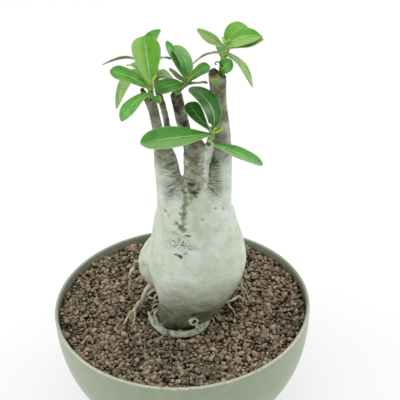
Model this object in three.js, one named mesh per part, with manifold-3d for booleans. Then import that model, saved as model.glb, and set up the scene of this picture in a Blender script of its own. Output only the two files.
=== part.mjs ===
// Potted desert rose: a swollen grey trunk with cut stems, leafy shoots and surface roots, standing in
// lava grit in a thin round bowl.
// Millimetres, +Z up, -Y to the front. The origin is the middle of the bowl's flat foot.
import * as THREE from 'three';
import { mergeVertices } from 'three/addons/utils/BufferGeometryUtils.js';
import Module from 'manifold-3d';

const wasm = await Module();
wasm.setup();

// Bowl
const BOWL_HEIGHT = 74;
const RIM_RADIUS = 80;
const BOWL_POWER = 2.4;
const WALL = 2.2;
const FOOT_RADIUS = 42;
const FOOT_HEIGHT = 1.6;
const FOOT_RING = 6;
const FOOT_RECESS = 1.2;
const FLOOR = 2.4;
const DRAIN_HOLES = 6;
const DRAIN_RADIUS = 3.2;
const DRAIN_CIRCLE = 20;
const DRAIN_SIDES = 16;
const BOWL_SIDES = 48;
const BOWL_STEPS = 7;

// Grit
const GRIT_LEVEL = 68;
const GRIT_PITCH = 4.4;
const GRIT_PEAK = 1.5;
const GRIT_VALLEY = 0.5;
const GRIT_JITTER = 0.7;
const GRIT_SEED = 41;

// Fits
const GAP = 0.3;
const MERGE = 1e-4;
const SMALLEST_EDGE = 0.03;

// Swollen base: height, middle in x, half width in x, middle in y, half depth in y
const CAUDEX = [
  [52, 1, 11, -6, 10],
  [60, 1.5, 15, -6, 13],
  [68, 2.5, 17, -6.5, 15],
  [80, 6.6, 20.6, -7, 19.5],
  [95, 9.2, 26.4, -7, 25.5],
  [110, 10.2, 29.6, -7, 28],
  [122, 10.3, 28.4, -7, 26.5],
  [135, 10, 25.2, -7, 22],
  [147, 9.6, 22.6, -7.8, 18],
  [156, 9.4, 18.6, -8.4, 14.5],
  [163, 9.6, 13, -8.6, 10.5],
  [169, 9.8, 6.5, -8.6, 5.5],
];
const CAUDEX_SIDES = 28;
const CAUDEX_STEPS = 16;
// Faint swellings of the base: share of its width, times round, height for one radian of turn
const SWELLINGS = [[0.025, 3, 14], [0.015, 5, -9]];

// Stems and roots run through hand-set points, each with the limb's radius there: x, y, z, radius.
const REAR_LOBE = [
  [6, 0, 124, 8],
  [-8, 8, 108, 13],
  [-13, 8, 96, 13.2],
  [-9, 4, 84, 9.5],
  [0, -3, 70, 7],
];
const LEFT_STEM = [
  [4, -8.5, 136, 13],
  [-1.8, -8.6, 150, 10.4],
  [-4.2, -8.2, 164, 7.8],
  [-6, -7.5, 182, 6.2],
  [-8.4, -8, 195, 3.5],
  [-10, -8, 206, 3],
  [-12, -8, 219, 2.7],
];
const REAR_STEM = [
  [-5, -5, 182, 3.4],
  [-3.9, 0, 196, 2],
  [-5.6, 3, 208, 1.8],
  [-8.5, 5, 219, 1.7],
];
const MIDDLE_STEM = [
  [9, -3, 140, 9],
  [8, 2, 158, 6],
  [6.3, 5.5, 178, 3.9],
  [4, 6, 196, 3.4],
  [1.9, 6, 215, 3.3],
];
const FRONT_STEM = [
  [10, -9.5, 136, 14],
  [10, -11.5, 150, 11],
  [10, -12.8, 162, 7.6],
  [10.3, -13.8, 174, 6],
  [10.6, -15, 190.5, 5.7],
];
const FRONT_BRANCHLET = [
  [12.6, -12.5, 158, 4],
  [15.4, -15, 172, 2.8],
  [16.4, -16.5, 186, 2.1],
  [18, -19, 201, 1.8],
];
const RIGHT_STEM = [
  [15, -7.5, 134, 13.5],
  [20, -8.2, 149, 11],
  [23, -7.4, 163, 8.6],
  [25.2, -7, 188, 6.4],
  [25.6, -7, 203, 4.8],
  [25, -7, 216, 4.2],
  [24.4, -7, 230.5, 4.9],
];
const RIGHT_STUB = [[24.2, -7.2, 226, 3.2], [22.4, -9.3, 233.2, 2.7]];
const LEFT_STUB = [[-11, -7.5, 210, 2.2], [-17.3, -6, 222.5, 1.7]];
const STEMS = [
  LEFT_STEM,
  REAR_STEM,
  MIDDLE_STEM,
  FRONT_STEM,
  FRONT_BRANCHLET,
  RIGHT_STEM,
  RIGHT_STUB,
  LEFT_STUB,
];
const STEM_SIDES = 12;

const GIRDLING_ROOT = [
  [-12, -6, 76, 3.4],
  [-19.5, -13, 70.5, 2.2],
  [-17, -23.5, 69.4, 2.1],
  [-5, -28, 69.2, 2.3],
  [8, -26.5, 69.3, 2.2],
  [15.5, -17, 70, 2.2],
  [13, -8, 73, 3],
];
const CUT_ROOT = [[5, -10, 76, 3.4], [5.4, -21.5, 72.6, 2.5]];
const LEFT_ROOT = [
  [-14, 4, 88, 2.2],
  [-20.5, 1, 86, 1.4],
  [-25, 0, 76, 1.2],
  [-30.5, -4, 70.6, 1.1],
  [-33, -9, 66, 0.9],
];
const LEFT_FINE_ROOT = [
  [-20, 9, 100, 1.2],
  [-28, 9, 99, 0.8],
  [-32, 9, 90, 0.7],
  [-33, 10, 78, 0.7],
  [-31, 12, 66, 0.7],
];
const LEFT_THICK_ROOT = [
  [-11, -6, 72, 3],
  [-20.5, -7, 71, 1.6],
  [-19.5, -14, 70, 1.7],
  [-19, -22, 67, 1.4],
];
const RIGHT_ROOT = [
  [17, -2, 78, 2.2],
  [28, -1, 71.4, 0.9],
  [36.3, 5, 70.6, 0.8],
  [39, 3, 66, 0.7],
];
const RIGHT_FINE_ROOT = [
  [25, 10, 92, 1.4],
  [35, 13, 82, 0.8],
  [38.6, 12, 73, 0.7],
  [41, 6, 66, 0.7],
];
const ROOTS = [
  GIRDLING_ROOT,
  CUT_ROOT,
  LEFT_ROOT,
  LEFT_FINE_ROOT,
  LEFT_THICK_ROOT,
  RIGHT_ROOT,
  RIGHT_FINE_ROOT,
];
const ROOT_SIDES = 8;

// A shoot stands on the end of its stem: offset of its foot from the middle of that end, foot radius, and
// head as x, y, z, radius. Leaves: where they spring from the shoot (0 foot, 1 head), tip, how far the
// middle of the midrib bows off its chord, full width, roll about the midrib in degrees.
const LEFT_SHOOT = {
  name: 'shoot_left',
  stem: LEFT_STEM,
  offset: [0.4, 0, 0],
  footRadius: 1.9,
  head: [-11.4, -8, 228, 1.2],
  leaves: [
    { from: 0.95, tip: [-16, 10, 249], bow: [0, -1, 1.5], width: 13.5, roll: 0 },
    { from: 0.8, tip: [-33, -6, 237], bow: [0, 0, 2], width: 11, roll: -25 },
    { from: 0.9, tip: [-37.5, 3, 235], bow: [0, 0, 8.5], width: 9, roll: 22 },
    { from: 0.85, tip: [-32, 6, 207], bow: [0, 0, 14], width: 9, roll: -70 },
    { from: 0.4, tip: [-28, -22, 213.5], bow: [0, 0, 3], width: 11.5, roll: 5 },
    { from: 0.35, tip: [-7.5, -14, 219], bow: [1.5, 0, 1], width: 5, roll: 30 },
  ],
};
const REAR_SHOOT = {
  name: 'shoot_rear',
  stem: REAR_STEM,
  offset: [0, 0, 0],
  footRadius: 1.5,
  head: [-9, 5, 227, 1.1],
  leaves: [
    { from: 0.95, tip: [-5, 22, 247], bow: [-4, 0, 1], width: 10, roll: 0 },
    { from: 0.8, tip: [0.5, 17, 218.5], bow: [0, 1, 5], width: 9, roll: 35 },
    { from: 0.9, tip: [0, 14.5, 232], bow: [-2.5, 0, 5], width: 7, roll: -22 },
    { from: 0.7, tip: [-24, 22, 226], bow: [0, 0, 4], width: 10, roll: 0 },
  ],
};
const MIDDLE_SHOOT = {
  name: 'shoot_middle',
  stem: MIDDLE_STEM,
  offset: [0.6, 0, 0],
  footRadius: 2.5,
  head: [9.4, 5.4, 222.5, 1.3],
  leaves: [
    { from: 0.97, tip: [-2, 13, 244], bow: [-1, 0, 1], width: 7, roll: -20 },
    { from: 0.97, tip: [5.6, 17, 240], bow: [1.5, 0, 2], width: 10, roll: 10 },
    { from: 0.92, tip: [-1, -2, 234], bow: [0, 0, -1], width: 7, roll: 15 },
    { from: 0.97, tip: [19.4, 9, 229], bow: [0, 0, 1.5], width: 7.5, roll: 25 },
    { from: 0.85, tip: [-9, -1, 223], bow: [0, 0, 1], width: 9, roll: -20 },
    { from: 0.8, tip: [20, 2, 222], bow: [0, 0, 0.5], width: 6, roll: -15 },
    { from: 0.85, tip: [14, 24, 219], bow: [0, 0, 4], width: 9, roll: 0 },
  ],
};
const FRONT_SHOOT = {
  name: 'shoot_front',
  stem: FRONT_BRANCHLET,
  offset: [0, 0, 0],
  footRadius: 1.6,
  head: [19.3, -20.4, 205.5, 1.2],
  leaves: [
    { from: 0.7, tip: [-19, -27, 202.5], bow: [0, 0, 0.5], width: 15, roll: -25 },
    { from: 0.9, tip: [8, -9, 216.5], bow: [-1, 0, 0], width: 9, roll: -10 },
    { from: 0.95, tip: [9.5, -5, 223.5], bow: [4, -5, 4.2], width: 11.5, roll: 5 },
    { from: 0.6, tip: [47.5, -25, 185], bow: [0, -1, 1.5], width: 9.5, roll: 8 },
    { from: 0.9, tip: [26.5, -23, 207], bow: [0, 0, 1], width: 4.5, roll: 0 },
  ],
};
const RIGHT_SHOOT = {
  name: 'shoot_right',
  stem: RIGHT_STEM,
  offset: [2.5, 1.8, 0],
  footRadius: 1.7,
  head: [28.4, -6.6, 246.5, 1.3],
  leaves: [
    { from: 0.97, tip: [15, 4, 254], bow: [0, 0, 0.5], width: 7, roll: -10 },
    { from: 0.97, tip: [44.5, 6, 250.5], bow: [-1, 0, 4.4], width: 13, roll: 20 },
    { from: 0.9, tip: [48, -9, 252.5], bow: [0, 0, 2.5], width: 9, roll: 10 },
    { from: 0.65, tip: [12, 0, 235.5], bow: [0, 0, 3], width: 8, roll: 22 },
    { from: 0.7, tip: [45, -4, 222], bow: [0, 0, 4], width: 7.5, roll: 15 },
    { from: 0.25, tip: [32, -9, 242], bow: [-1.5, -1, 0], width: 8, roll: 75 },
    { from: 0.7, tip: [30, 16, 236], bow: [0, 0, 4], width: 10, roll: 0 },
  ],
};
const SHOOTS = [LEFT_SHOOT, REAR_SHOOT, MIDDLE_SHOOT, FRONT_SHOOT, RIGHT_SHOOT];
const SHOOT_NECK = 1.5;
const LEAF_ROWS = 7;
const LEAF_COLUMNS = 4;
const LEAF_EDGE = 0.6;
const LEAF_RIB = 1;
const LEAF_FOLD = 0.22;
const LEAF_STALK = 0.9;
const LEAF_TIP = 0.35;
const LEAF_CROWDING = 1.4;
// Leaf outline: how fast it widens from the stalk, how late and how bluntly it closes, peak scaled to 1
const LEAF_OPENING = 0.75;
const LEAF_CLOSING = 3.2;
const LEAF_BLUNTNESS = 0.6;
const LEAF_SCALE = 1.64;

// Sealing paste on the cut stubs
const PASTE_THICKNESS = 1.2;
const PASTE_SIDES = 16;
const PASTE_SHOULDER = 0.6;
const PASTE_CROWN = 0.7;

const bowlPlastic = new THREE.MeshStandardMaterial({ color: 0xb4c0ae, roughness: 0.3, metalness: 0 });
const lavaGrit = new THREE.MeshStandardMaterial({ color: 0x5e4a44, roughness: 0.95, metalness: 0 });
const bark = new THREE.MeshStandardMaterial({ color: 0xc3c8b4, roughness: 0.7, metalness: 0 });
const leafGreen = new THREE.MeshStandardMaterial({ color: 0x5b9b3c, roughness: 0.45, metalness: 0 });
const blackPaste = new THREE.MeshStandardMaterial({ color: 0x1c1d20, roughness: 0.4, metalness: 0 });

// A closed geometry as a solid: shared corners are merged and collapsed triangles dropped.
function toSolid(geometry) {
  const bare = geometry.clone();
  bare.deleteAttribute('normal');
  bare.deleteAttribute('uv');
  const merged = mergeVertices(bare, MERGE);
  const corners = merged.index.array;
  const kept = [];
  for (let i = 0; i < corners.length; i += 3) {
    const [a, b, c] = corners.slice(i, i + 3);
    if (a !== b && b !== c && c !== a) kept.push(a, b, c);
  }
  const vertProperties = Float32Array.from(merged.attributes.position.array);
  return new wasm.Manifold(new wasm.Mesh({ numProp: 3, vertProperties, triVerts: Uint32Array.from(kept) }));
}

// The largest body of a solid, with loose scraps dropped and very short edges smoothed away.
function mainBody(solid) {
  const bodies = solid.decompose();
  bodies.sort((a, b) => b.volume() - a.volume());
  return bodies[0].simplify(SMALLEST_EDGE);
}

function toMesh(name, solid, material) {
  const { vertProperties, triVerts } = solid.getMesh();
  const geometry = new THREE.BufferGeometry();
  geometry.setAttribute('position', new THREE.BufferAttribute(Float32Array.from(vertProperties), 3));
  geometry.setIndex(Array.from(triVerts));
  geometry.computeVertexNormals();
  const mesh = new THREE.Mesh(geometry, material);
  mesh.name = name;
  return mesh;
}

function joinAll(solids) {
  return solids.reduce((joined, solid) => joined.add(solid));
}

// Repeatable random numbers from 0 to 1.
function randomSource(seed) {
  let state = seed;
  return () => {
    state = (state * 1664525 + 1013904223) % 4294967296;
    return state / 4294967296;
  };
}

function revolve(points, sides) {
  const profile = points.map(([radius, height]) => new THREE.Vector2(radius, height));
  return new THREE.LatheGeometry(profile, sides).rotateX(Math.PI / 2);
}

// The bowl's side is a superellipse round the middle of the rim; inset moves it inwards.
function bowlSide(inset, lowest) {
  const size = RIM_RADIUS - inset;
  const depth = BOWL_HEIGHT - lowest;
  const lastAngle = Math.asin((depth / size) ** (BOWL_POWER / 2));
  const points = [];
  for (let i = 0; i <= BOWL_STEPS; i += 1) {
    const angle = lastAngle * (1 - i / BOWL_STEPS);
    const radius = size * Math.cos(angle) ** (2 / BOWL_POWER);
    points.push([radius, BOWL_HEIGHT - size * Math.sin(angle) ** (2 / BOWL_POWER)]);
  }
  return points;
}

function buildBowl() {
  const floorTop = FOOT_RECESS + FLOOR;
  const outline = [
    [0, FOOT_RECESS],
    [FOOT_RADIUS - FOOT_RING, FOOT_RECESS],
    [FOOT_RADIUS - FOOT_RING, 0],
    [FOOT_RADIUS, 0],
    ...bowlSide(0, FOOT_HEIGHT),
    ...bowlSide(WALL, floorTop).reverse(),
    [0, floorTop],
  ];
  let bowl = toSolid(revolve(outline, BOWL_SIDES));
  for (let i = 0; i < DRAIN_HOLES; i += 1) {
    const hole = new THREE.CylinderGeometry(DRAIN_RADIUS, DRAIN_RADIUS, 4 * FLOOR, DRAIN_SIDES);
    hole.rotateX(Math.PI / 2);
    hole.translate(DRAIN_CIRCLE, 0, floorTop);
    hole.rotateZ((2 * Math.PI * i) / DRAIN_HOLES);
    bowl = bowl.subtract(toSolid(hole));
  }
  return bowl;
}

function limbCurve(stations) {
  const points = stations.map(([x, y, z]) => new THREE.Vector3(x, y, z));
  return new THREE.CatmullRomCurve3(points, false, 'centripetal');
}

// A limb through points with a radius at each, as a cylinder bent along a smooth curve.
function limb(stations, sides, extra) {
  const curve = limbCurve(stations);
  const radii = new THREE.SplineCurve(stations.map((s, i) => new THREE.Vector2(i, s[3])));
  const steps = 2 * (stations.length - 1);
  const frames = curve.computeFrenetFrames(steps);
  const geometry = new THREE.CylinderGeometry(1, 1, 1, sides, steps);
  const place = geometry.attributes.position;
  for (let i = 0; i < place.count; i += 1) {
    const step = Math.round((place.getY(i) + 0.5) * steps);
    const t = curve.getUtoTmapping(step / steps);
    const radius = radii.getPoint(t).y + extra;
    const centre = curve.getPoint(t);
    if (step === 0) centre.addScaledVector(frames.tangents[step], -extra);
    if (step === steps) centre.addScaledVector(frames.tangents[step], extra);
    centre.addScaledVector(frames.binormals[step], radius * place.getX(i));
    centre.addScaledVector(frames.normals[step], radius * place.getZ(i));
    place.setXYZ(i, centre.x, centre.y, centre.z);
  }
  return toSolid(geometry);
}

// The swollen base, as a cylinder whose rings follow the hand-set sections.
function buildCaudex(extra) {
  const path = new THREE.CatmullRomCurve3(CAUDEX.map(([z, x, , y]) => new THREE.Vector3(x, y, z)));
  const size = new THREE.CatmullRomCurve3(CAUDEX.map(([z, , w, , d]) => new THREE.Vector3(w, d, z)));
  const geometry = new THREE.CylinderGeometry(1, 1, 1, CAUDEX_SIDES, CAUDEX_STEPS).rotateX(Math.PI / 2);
  const place = geometry.attributes.position;
  for (let i = 0; i < place.count; i += 1) {
    const t = 0.5 + place.getZ(i);
    const centre = path.getPoint(t);
    const half = size.getPoint(t);
    const angle = Math.atan2(place.getY(i), place.getX(i));
    let swell = 1;
    for (const [share, times, height] of SWELLINGS) {
      swell += share * Math.sin(times * angle + centre.z / height);
    }
    if (t === 0) centre.z -= extra;
    const x = centre.x + (half.x * swell + extra) * place.getX(i);
    const y = centre.y + (half.y * swell + extra) * place.getY(i);
    place.setXYZ(i, x, y, centre.z);
  }
  return toSolid(geometry);
}

function buildTrunk(extra) {
  return joinAll([
    buildCaudex(extra),
    limb(REAR_LOBE, CAUDEX_SIDES / 2, extra),
    ...STEMS.map((stations) => limb(stations, STEM_SIDES, extra)),
    ...ROOTS.map((stations) => limb(stations, ROOT_SIDES, extra)),
  ]);
}

// Peaks of grit on a triangular grid, one corner in three being a peak, over a flat underside.
function gritBlock() {
  const random = randomSource(GRIT_SEED);
  const rowHeight = (GRIT_PITCH * Math.sqrt(3)) / 2;
  const rows = 2 * Math.ceil(RIM_RADIUS / rowHeight);
  const columns = 2 * Math.ceil(RIM_RADIUS / GRIT_PITCH) + rows / 2;
  const grid = new THREE.BoxGeometry(1, 1, 1, columns, rows, 1);
  const grains = [];
  for (let row = 0; row <= rows; row += 1) {
    for (let column = 0; column <= columns; column += 1) {
      const rise = (column + row) % 3 === 0 ? GRIT_PEAK * (0.5 + random()) : -GRIT_VALLEY * random();
      grains.push([GRIT_JITTER * (random() - 0.5), GRIT_JITTER * (random() - 0.5), rise]);
    }
  }
  const place = grid.attributes.position;
  for (let i = 0; i < place.count; i += 1) {
    const column = Math.round((place.getX(i) + 0.5) * columns);
    const row = Math.round((place.getY(i) + 0.5) * rows);
    const [shiftX, shiftY, rise] = grains[row * (columns + 1) + column];
    const x = (column - columns / 2 - (row - rows / 2) / 2) * GRIT_PITCH + shiftX;
    const y = (row - rows / 2) * rowHeight + shiftY;
    place.setXYZ(i, x, y, place.getZ(i) > 0 ? GRIT_LEVEL + rise : 0);
  }
  return toSolid(grid);
}

function buildSubstrate() {
  const bottom = FOOT_RECESS + FLOOR + GAP;
  const outline = [[0, bottom], ...bowlSide(WALL + GAP, bottom), [0, BOWL_HEIGHT]];
  const filling = toSolid(revolve(outline, BOWL_SIDES));
  return filling.intersect(gritBlock()).subtract(buildTrunk(GAP));
}

// Half width of a leaf along its length, from 0 at the stalk to 1 at the tip: widest past the middle.
function leafOutline(u) {
  return LEAF_SCALE * u ** LEAF_OPENING * (1 - u ** LEAF_CLOSING) ** LEAF_BLUNTNESS;
}

// One arched, folded blade. Both faces are split into triangles alike.
function leafGeometry(base, { tip, bow, width, roll }) {
  const end = new THREE.Vector3(...tip);
  const bend = base.clone().lerp(end, 0.5).addScaledVector(new THREE.Vector3(...bow), 2);
  const midrib = new THREE.QuadraticBezierCurve3(base, bend, end);
  const up = new THREE.Vector3(0, 0, 1);
  const faces = [];
  for (const side of [1, -1]) {
    for (let i = 0; i <= LEAF_ROWS; i += 1) {
      const u = 1 - (1 - i / LEAF_ROWS) ** LEAF_CROWDING;
      const along = midrib.getTangent(u);
      const across = along.clone().cross(up).normalize();
      const normal = across.clone().cross(along).normalize();
      across.applyAxisAngle(along, THREE.MathUtils.degToRad(roll));
      normal.applyAxisAngle(along, THREE.MathUtils.degToRad(roll));
      const half = Math.max(LEAF_STALK * (1 - u), LEAF_TIP, (leafOutline(u) * width) / 2);
      for (let j = 0; j <= LEAF_COLUMNS; j += 1) {
        const v = (2 * j) / LEAF_COLUMNS - 1;
        const thick = LEAF_EDGE + (LEAF_RIB - LEAF_EDGE) * (1 - Math.abs(v));
        const point = midrib.getPoint(u).addScaledVector(across, half * v);
        point.addScaledVector(normal, LEAF_FOLD * half * Math.abs(v) + (side * thick) / 2);
        faces.push(point);
      }
    }
  }
  const perRow = LEAF_COLUMNS + 1;
  const lower = (LEAF_ROWS + 1) * perRow;
  const index = [];
  const quad = (a, b, c, d) => index.push(a, b, c, a, c, d);
  for (let i = 0; i < LEAF_ROWS; i += 1) {
    for (let j = 0; j < LEAF_COLUMNS; j += 1) {
      const a = i * perRow + j;
      const [b, c, d] = [a + 1, a + perRow + 1, a + perRow];
      index.push(a, b, c, a, c, d, lower + a, lower + c, lower + b, lower + a, lower + d, lower + c);
    }
    const left = i * perRow;
    const right = left + LEAF_COLUMNS;
    quad(left, left + perRow, lower + left + perRow, lower + left);
    quad(right, lower + right, lower + right + perRow, right + perRow);
  }
  for (let j = 0; j < LEAF_COLUMNS; j += 1) {
    const last = LEAF_ROWS * perRow + j;
    quad(j, lower + j, lower + j + 1, j + 1);
    quad(last, last + 1, lower + last + 1, lower + last);
  }
  const geometry = new THREE.BufferGeometry().setFromPoints(faces);
  geometry.setIndex(index);
  return geometry;
}

// A green shoot, rising squarely from its stem's cut end, with its leaves springing from it.
function buildShoot({ stem, offset, footRadius, head, leaves }) {
  const stemCurve = limbCurve(stem);
  const direction = stemCurve.getTangent(1);
  const aside = new THREE.Vector3(...offset).projectOnPlane(direction);
  const foot = stemCurve.getPoint(1).addScaledVector(direction, GAP).add(aside);
  const neck = foot.clone().addScaledVector(direction, SHOOT_NECK);
  const stations = [[...foot, footRadius], [...neck, footRadius], head];
  const shootCurve = limbCurve(stations);
  const blades = leaves.map((leaf) => toSolid(leafGeometry(shootCurve.getPoint(leaf.from), leaf)));
  return joinAll([limb(stations, ROOT_SIDES, 0), ...blades]);
}

// A flat drop of sealing paste, lying a hair above the cut end of a stub.
function buildPaste(stub) {
  const [before, last] = stub.slice(-2).map(([x, y, z]) => new THREE.Vector3(x, y, z));
  const direction = last.clone().sub(before).normalize();
  const radius = stub.at(-1)[3];
  const outline = [
    [0, GAP],
    [radius, GAP],
    [radius, PASTE_SHOULDER * PASTE_THICKNESS],
    [PASTE_CROWN * radius, PASTE_THICKNESS],
    [0, PASTE_THICKNESS],
  ];
  const drop = revolve(outline, PASTE_SIDES);
  drop.applyQuaternion(new THREE.Quaternion().setFromUnitVectors(new THREE.Vector3(0, 0, 1), direction));
  drop.translate(last.x, last.y, last.z);
  return toSolid(drop);
}

const plant = new THREE.Group();
plant.add(toMesh('trunk', mainBody(buildTrunk(0)), bark));
for (const shoot of SHOOTS) plant.add(toMesh(shoot.name, mainBody(buildShoot(shoot)), leafGreen));
plant.add(toMesh('paste_right', buildPaste(RIGHT_STUB), blackPaste));
plant.add(toMesh('paste_left', buildPaste(LEFT_STUB), blackPaste));

const group = new THREE.Group();
group.add(toMesh('bowl', buildBowl(), bowlPlastic));
group.add(toMesh('substrate', mainBody(buildSubstrate()), lavaGrit));
group.add(plant);

export default group;
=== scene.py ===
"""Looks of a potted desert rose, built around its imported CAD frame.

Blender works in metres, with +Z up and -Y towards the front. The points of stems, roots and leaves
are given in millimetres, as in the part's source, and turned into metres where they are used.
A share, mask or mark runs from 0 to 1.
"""

import logging
import math
from dataclasses import dataclass, field
from enum import Enum
from random import Random
from typing import Any, Callable, Iterable, Sequence

import bmesh
import bpy
import numpy as np
from mathutils import Euler, Matrix, Vector, kdtree, noise
from mathutils.bvhtree import BVHTree


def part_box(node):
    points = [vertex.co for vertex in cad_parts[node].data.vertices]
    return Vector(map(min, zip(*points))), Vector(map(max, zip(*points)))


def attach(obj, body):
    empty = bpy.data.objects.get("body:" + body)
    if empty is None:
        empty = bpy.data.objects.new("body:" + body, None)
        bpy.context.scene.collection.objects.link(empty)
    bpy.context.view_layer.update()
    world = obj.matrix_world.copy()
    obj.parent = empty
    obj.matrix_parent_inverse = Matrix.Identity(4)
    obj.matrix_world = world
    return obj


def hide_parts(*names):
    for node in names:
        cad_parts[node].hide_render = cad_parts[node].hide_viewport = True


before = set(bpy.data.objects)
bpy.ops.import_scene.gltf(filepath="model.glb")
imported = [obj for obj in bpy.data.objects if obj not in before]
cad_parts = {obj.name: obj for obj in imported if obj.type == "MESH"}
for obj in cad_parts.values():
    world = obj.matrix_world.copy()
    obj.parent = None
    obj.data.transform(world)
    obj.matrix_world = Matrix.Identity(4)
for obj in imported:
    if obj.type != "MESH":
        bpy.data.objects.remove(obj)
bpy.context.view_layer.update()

MM = 0.001
ROOT = "root"
UP = Vector((0.0, 0.0, 1.0))
# How far up a rounded tip its rings are, as shares of its radius
DOME_STEPS = (0.5, 0.85, 0.97)
# The smallest turn in radians, and the smallest gap in metres, that count
NO_TURN = 1e-6
HAIR = 1e-5
WHITE = (1.0, 1.0, 1.0, 1.0)
LOG = logging.getLogger("desert_rose")

Place = tuple[float, float, float]
Station = tuple[float, float, float, float]
Route = Sequence[Station]
Colour = tuple[float, float, float, float]
Piece = bpy.types.Object
Material = bpy.types.Material
Socket = bpy.types.NodeSocket
Tree = bpy.types.NodeTree
Rows = np.ndarray


def shade(red: int, green: int, blue: int) -> Colour:
    """Turns a colour given as 0 to 255 screen values into the linear values that shaders take.

    Args:
        red: How red it is.
        green: How green it is.
        blue: How blue it is.

    Returns:
        The opaque colour.
    """
    linear = []
    for value in (red, green, blue):
        part = value / 255
        linear.append(part / 12.92 if part <= 0.04045 else ((part + 0.055) / 1.055) ** 2.4)
    return (linear[0], linear[1], linear[2], 1.0)


# Modelling


def deselect_all() -> None:
    """Leaves nothing selected, in object mode."""
    if bpy.context.mode != "OBJECT":
        bpy.ops.object.mode_set(mode="OBJECT")
    bpy.ops.object.select_all(action="DESELECT")


def choose(*objects: Piece) -> None:
    """Selects some objects alone.

    Args:
        *objects: The objects; the first becomes the active one.
    """
    deselect_all()
    for item in objects:
        item.select_set(True)
    bpy.context.view_layer.objects.active = objects[0]


def finish_edit(name: str) -> Piece:
    """Leaves edit mode, applies the active object's place to its mesh and names both.

    Args:
        name: The new name of the object and its mesh.

    Returns:
        The active object, at the origin.
    """
    bpy.ops.object.mode_set(mode="OBJECT")
    piece = bpy.context.active_object
    bpy.ops.object.transform_apply(location=True, rotation=True, scale=True)
    piece.name = name
    piece.data.name = name
    return piece


def edit_all() -> None:
    """Opens the active object in edit mode, with all of it selected."""
    bpy.ops.object.mode_set(mode="EDIT")
    bpy.ops.mesh.select_all(action="SELECT")


def modify(piece: Piece, kind: str, **settings: Any) -> None:
    """Adds a modifier to a piece and applies it.

    Args:
        piece: The object to change.
        kind: The modifier's type, such as "REMESH".
        **settings: Values of the modifier's own properties.
    """
    choose(piece)
    modifier = piece.modifiers.new(kind.title(), kind)
    for key, value in settings.items():
        setattr(modifier, key, value)
    bpy.ops.object.modifier_apply(modifier=modifier.name)


def join(name: str, parts: Sequence[Piece]) -> Piece:
    """Joins several objects into one.

    Args:
        name: The name of the joined object.
        parts: The objects.

    Returns:
        The joined object, at the origin.
    """
    choose(*parts)
    if len(parts) > 1:
        bpy.ops.object.join()
    return finish_edit(name)


def smooth(piece: Piece, angle: float = 50.0) -> None:
    """Shades a piece smooth, except across edges sharper than an angle in degrees."""
    choose(piece)
    bpy.ops.object.shade_smooth_by_angle(angle=math.radians(angle))


def select_where(piece: Piece, wanted: Callable[[Vector], bool]) -> None:
    """Selects, in edit mode, some corners of a mesh and what lies between them.

    Args:
        piece: The edited object.
        wanted: The test that a corner's place has to pass.
    """
    corners = bmesh.from_edit_mesh(piece.data)
    for vertex in corners.verts:
        vertex.select = wanted(vertex.co)
    corners.select_flush_mode()
    corners.select_flush(True)
    bmesh.update_edit_mesh(piece.data)


def read_corners(piece: Piece, what: str) -> Rows:
    """Reads three numbers for each corner of a piece.

    Args:
        piece: The piece.
        what: The corner's property, such as "co".

    Returns:
        One row for each corner.
    """
    flat = np.empty(len(piece.data.vertices) * 3)
    piece.data.vertices.foreach_get(what, flat)
    return flat.reshape(-1, 3)


def places_of(piece: Piece) -> Rows:
    """The places of a piece's corners, one row each."""
    return read_corners(piece, "co")


def normals_of(piece: Piece) -> Rows:
    """The directions in which a piece's corners face, one row each."""
    return read_corners(piece, "normal")


def set_places(piece: Piece, places: Rows) -> None:
    """Moves the corners of a piece to these places."""
    piece.data.vertices.foreach_set("co", places.ravel())
    piece.data.update()


def paint(piece: Piece, name: str, values: Rows) -> None:
    """Stores one number for each corner of a piece, for its material to read."""
    layer = piece.data.attributes.new(name, "FLOAT", "POINT")
    layer.data.foreach_set("value", values.astype(np.float32))


def noise_at(places: Rows, scale: Sequence[float], seed: float) -> Rows:
    """Smooth noise, from about -1 to 1, at many places; scale is the pattern's size, and seed moves it."""
    moved = places / np.asarray(scale) + seed
    return np.array([noise.noise(Vector(row)) for row in moved])


def clamp(values: Rows) -> Rows:
    """The values, none below 0 or above 1."""
    return np.clip(values, 0, 1)


def lengths(rows: Rows) -> Rows:
    """The length of each row, as a vector."""
    return np.linalg.norm(rows, axis=1)


def roughen(piece: Piece, scale: Sequence[float], seed: float, depth: float) -> tuple[Rows, Rows]:
    """Raises and lowers a piece's skin by noise.

    Args:
        piece: The piece.
        scale: Size of the pattern in metres along X, Y and Z.
        seed: Moves the pattern.
        depth: How far the noise lifts the skin where it is 1, in metres.

    Returns:
        Where the corners were before, and the noise there.
    """
    places = places_of(piece)
    lumps = noise_at(places, scale, seed)
    set_places(piece, places + normals_of(piece) * (lumps * depth)[:, None])
    return places, lumps


def fuse(piece: Piece, voxel: float, passes: int) -> None:
    """Fuses a piece's limbs under one skin, with faces of about voxel, and smooths it passes times."""
    modify(piece, "REMESH", mode="VOXEL", voxel_size=voxel, use_smooth_shade=True)
    modify(piece, "SMOOTH", factor=0.5, iterations=passes)


def start_disc(
    sides: int, radius: float, place: Sequence[float], facing: Sequence[float] = (0, 0, 0)
) -> None:
    """Adds a disc, the start of a round shape, and leaves it selected in edit mode.

    Args:
        sides: How many corners it has.
        radius: Its radius.
        place: Its middle.
        facing: How it is turned from lying flat.
    """
    deselect_all()
    bpy.ops.mesh.primitive_circle_add(
        vertices=sides, radius=radius, fill_type="NGON", location=place, rotation=facing
    )
    edit_all()


def extrude(move: Sequence[float], size: Sequence[float], centre: Sequence[float]) -> None:
    """Extrudes what is selected in edit mode by a move, then resizes it about a point."""
    bpy.ops.mesh.extrude_region_move(TRANSFORM_OT_translate={"value": move})
    bpy.ops.transform.resize(value=size, center_override=centre)


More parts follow.
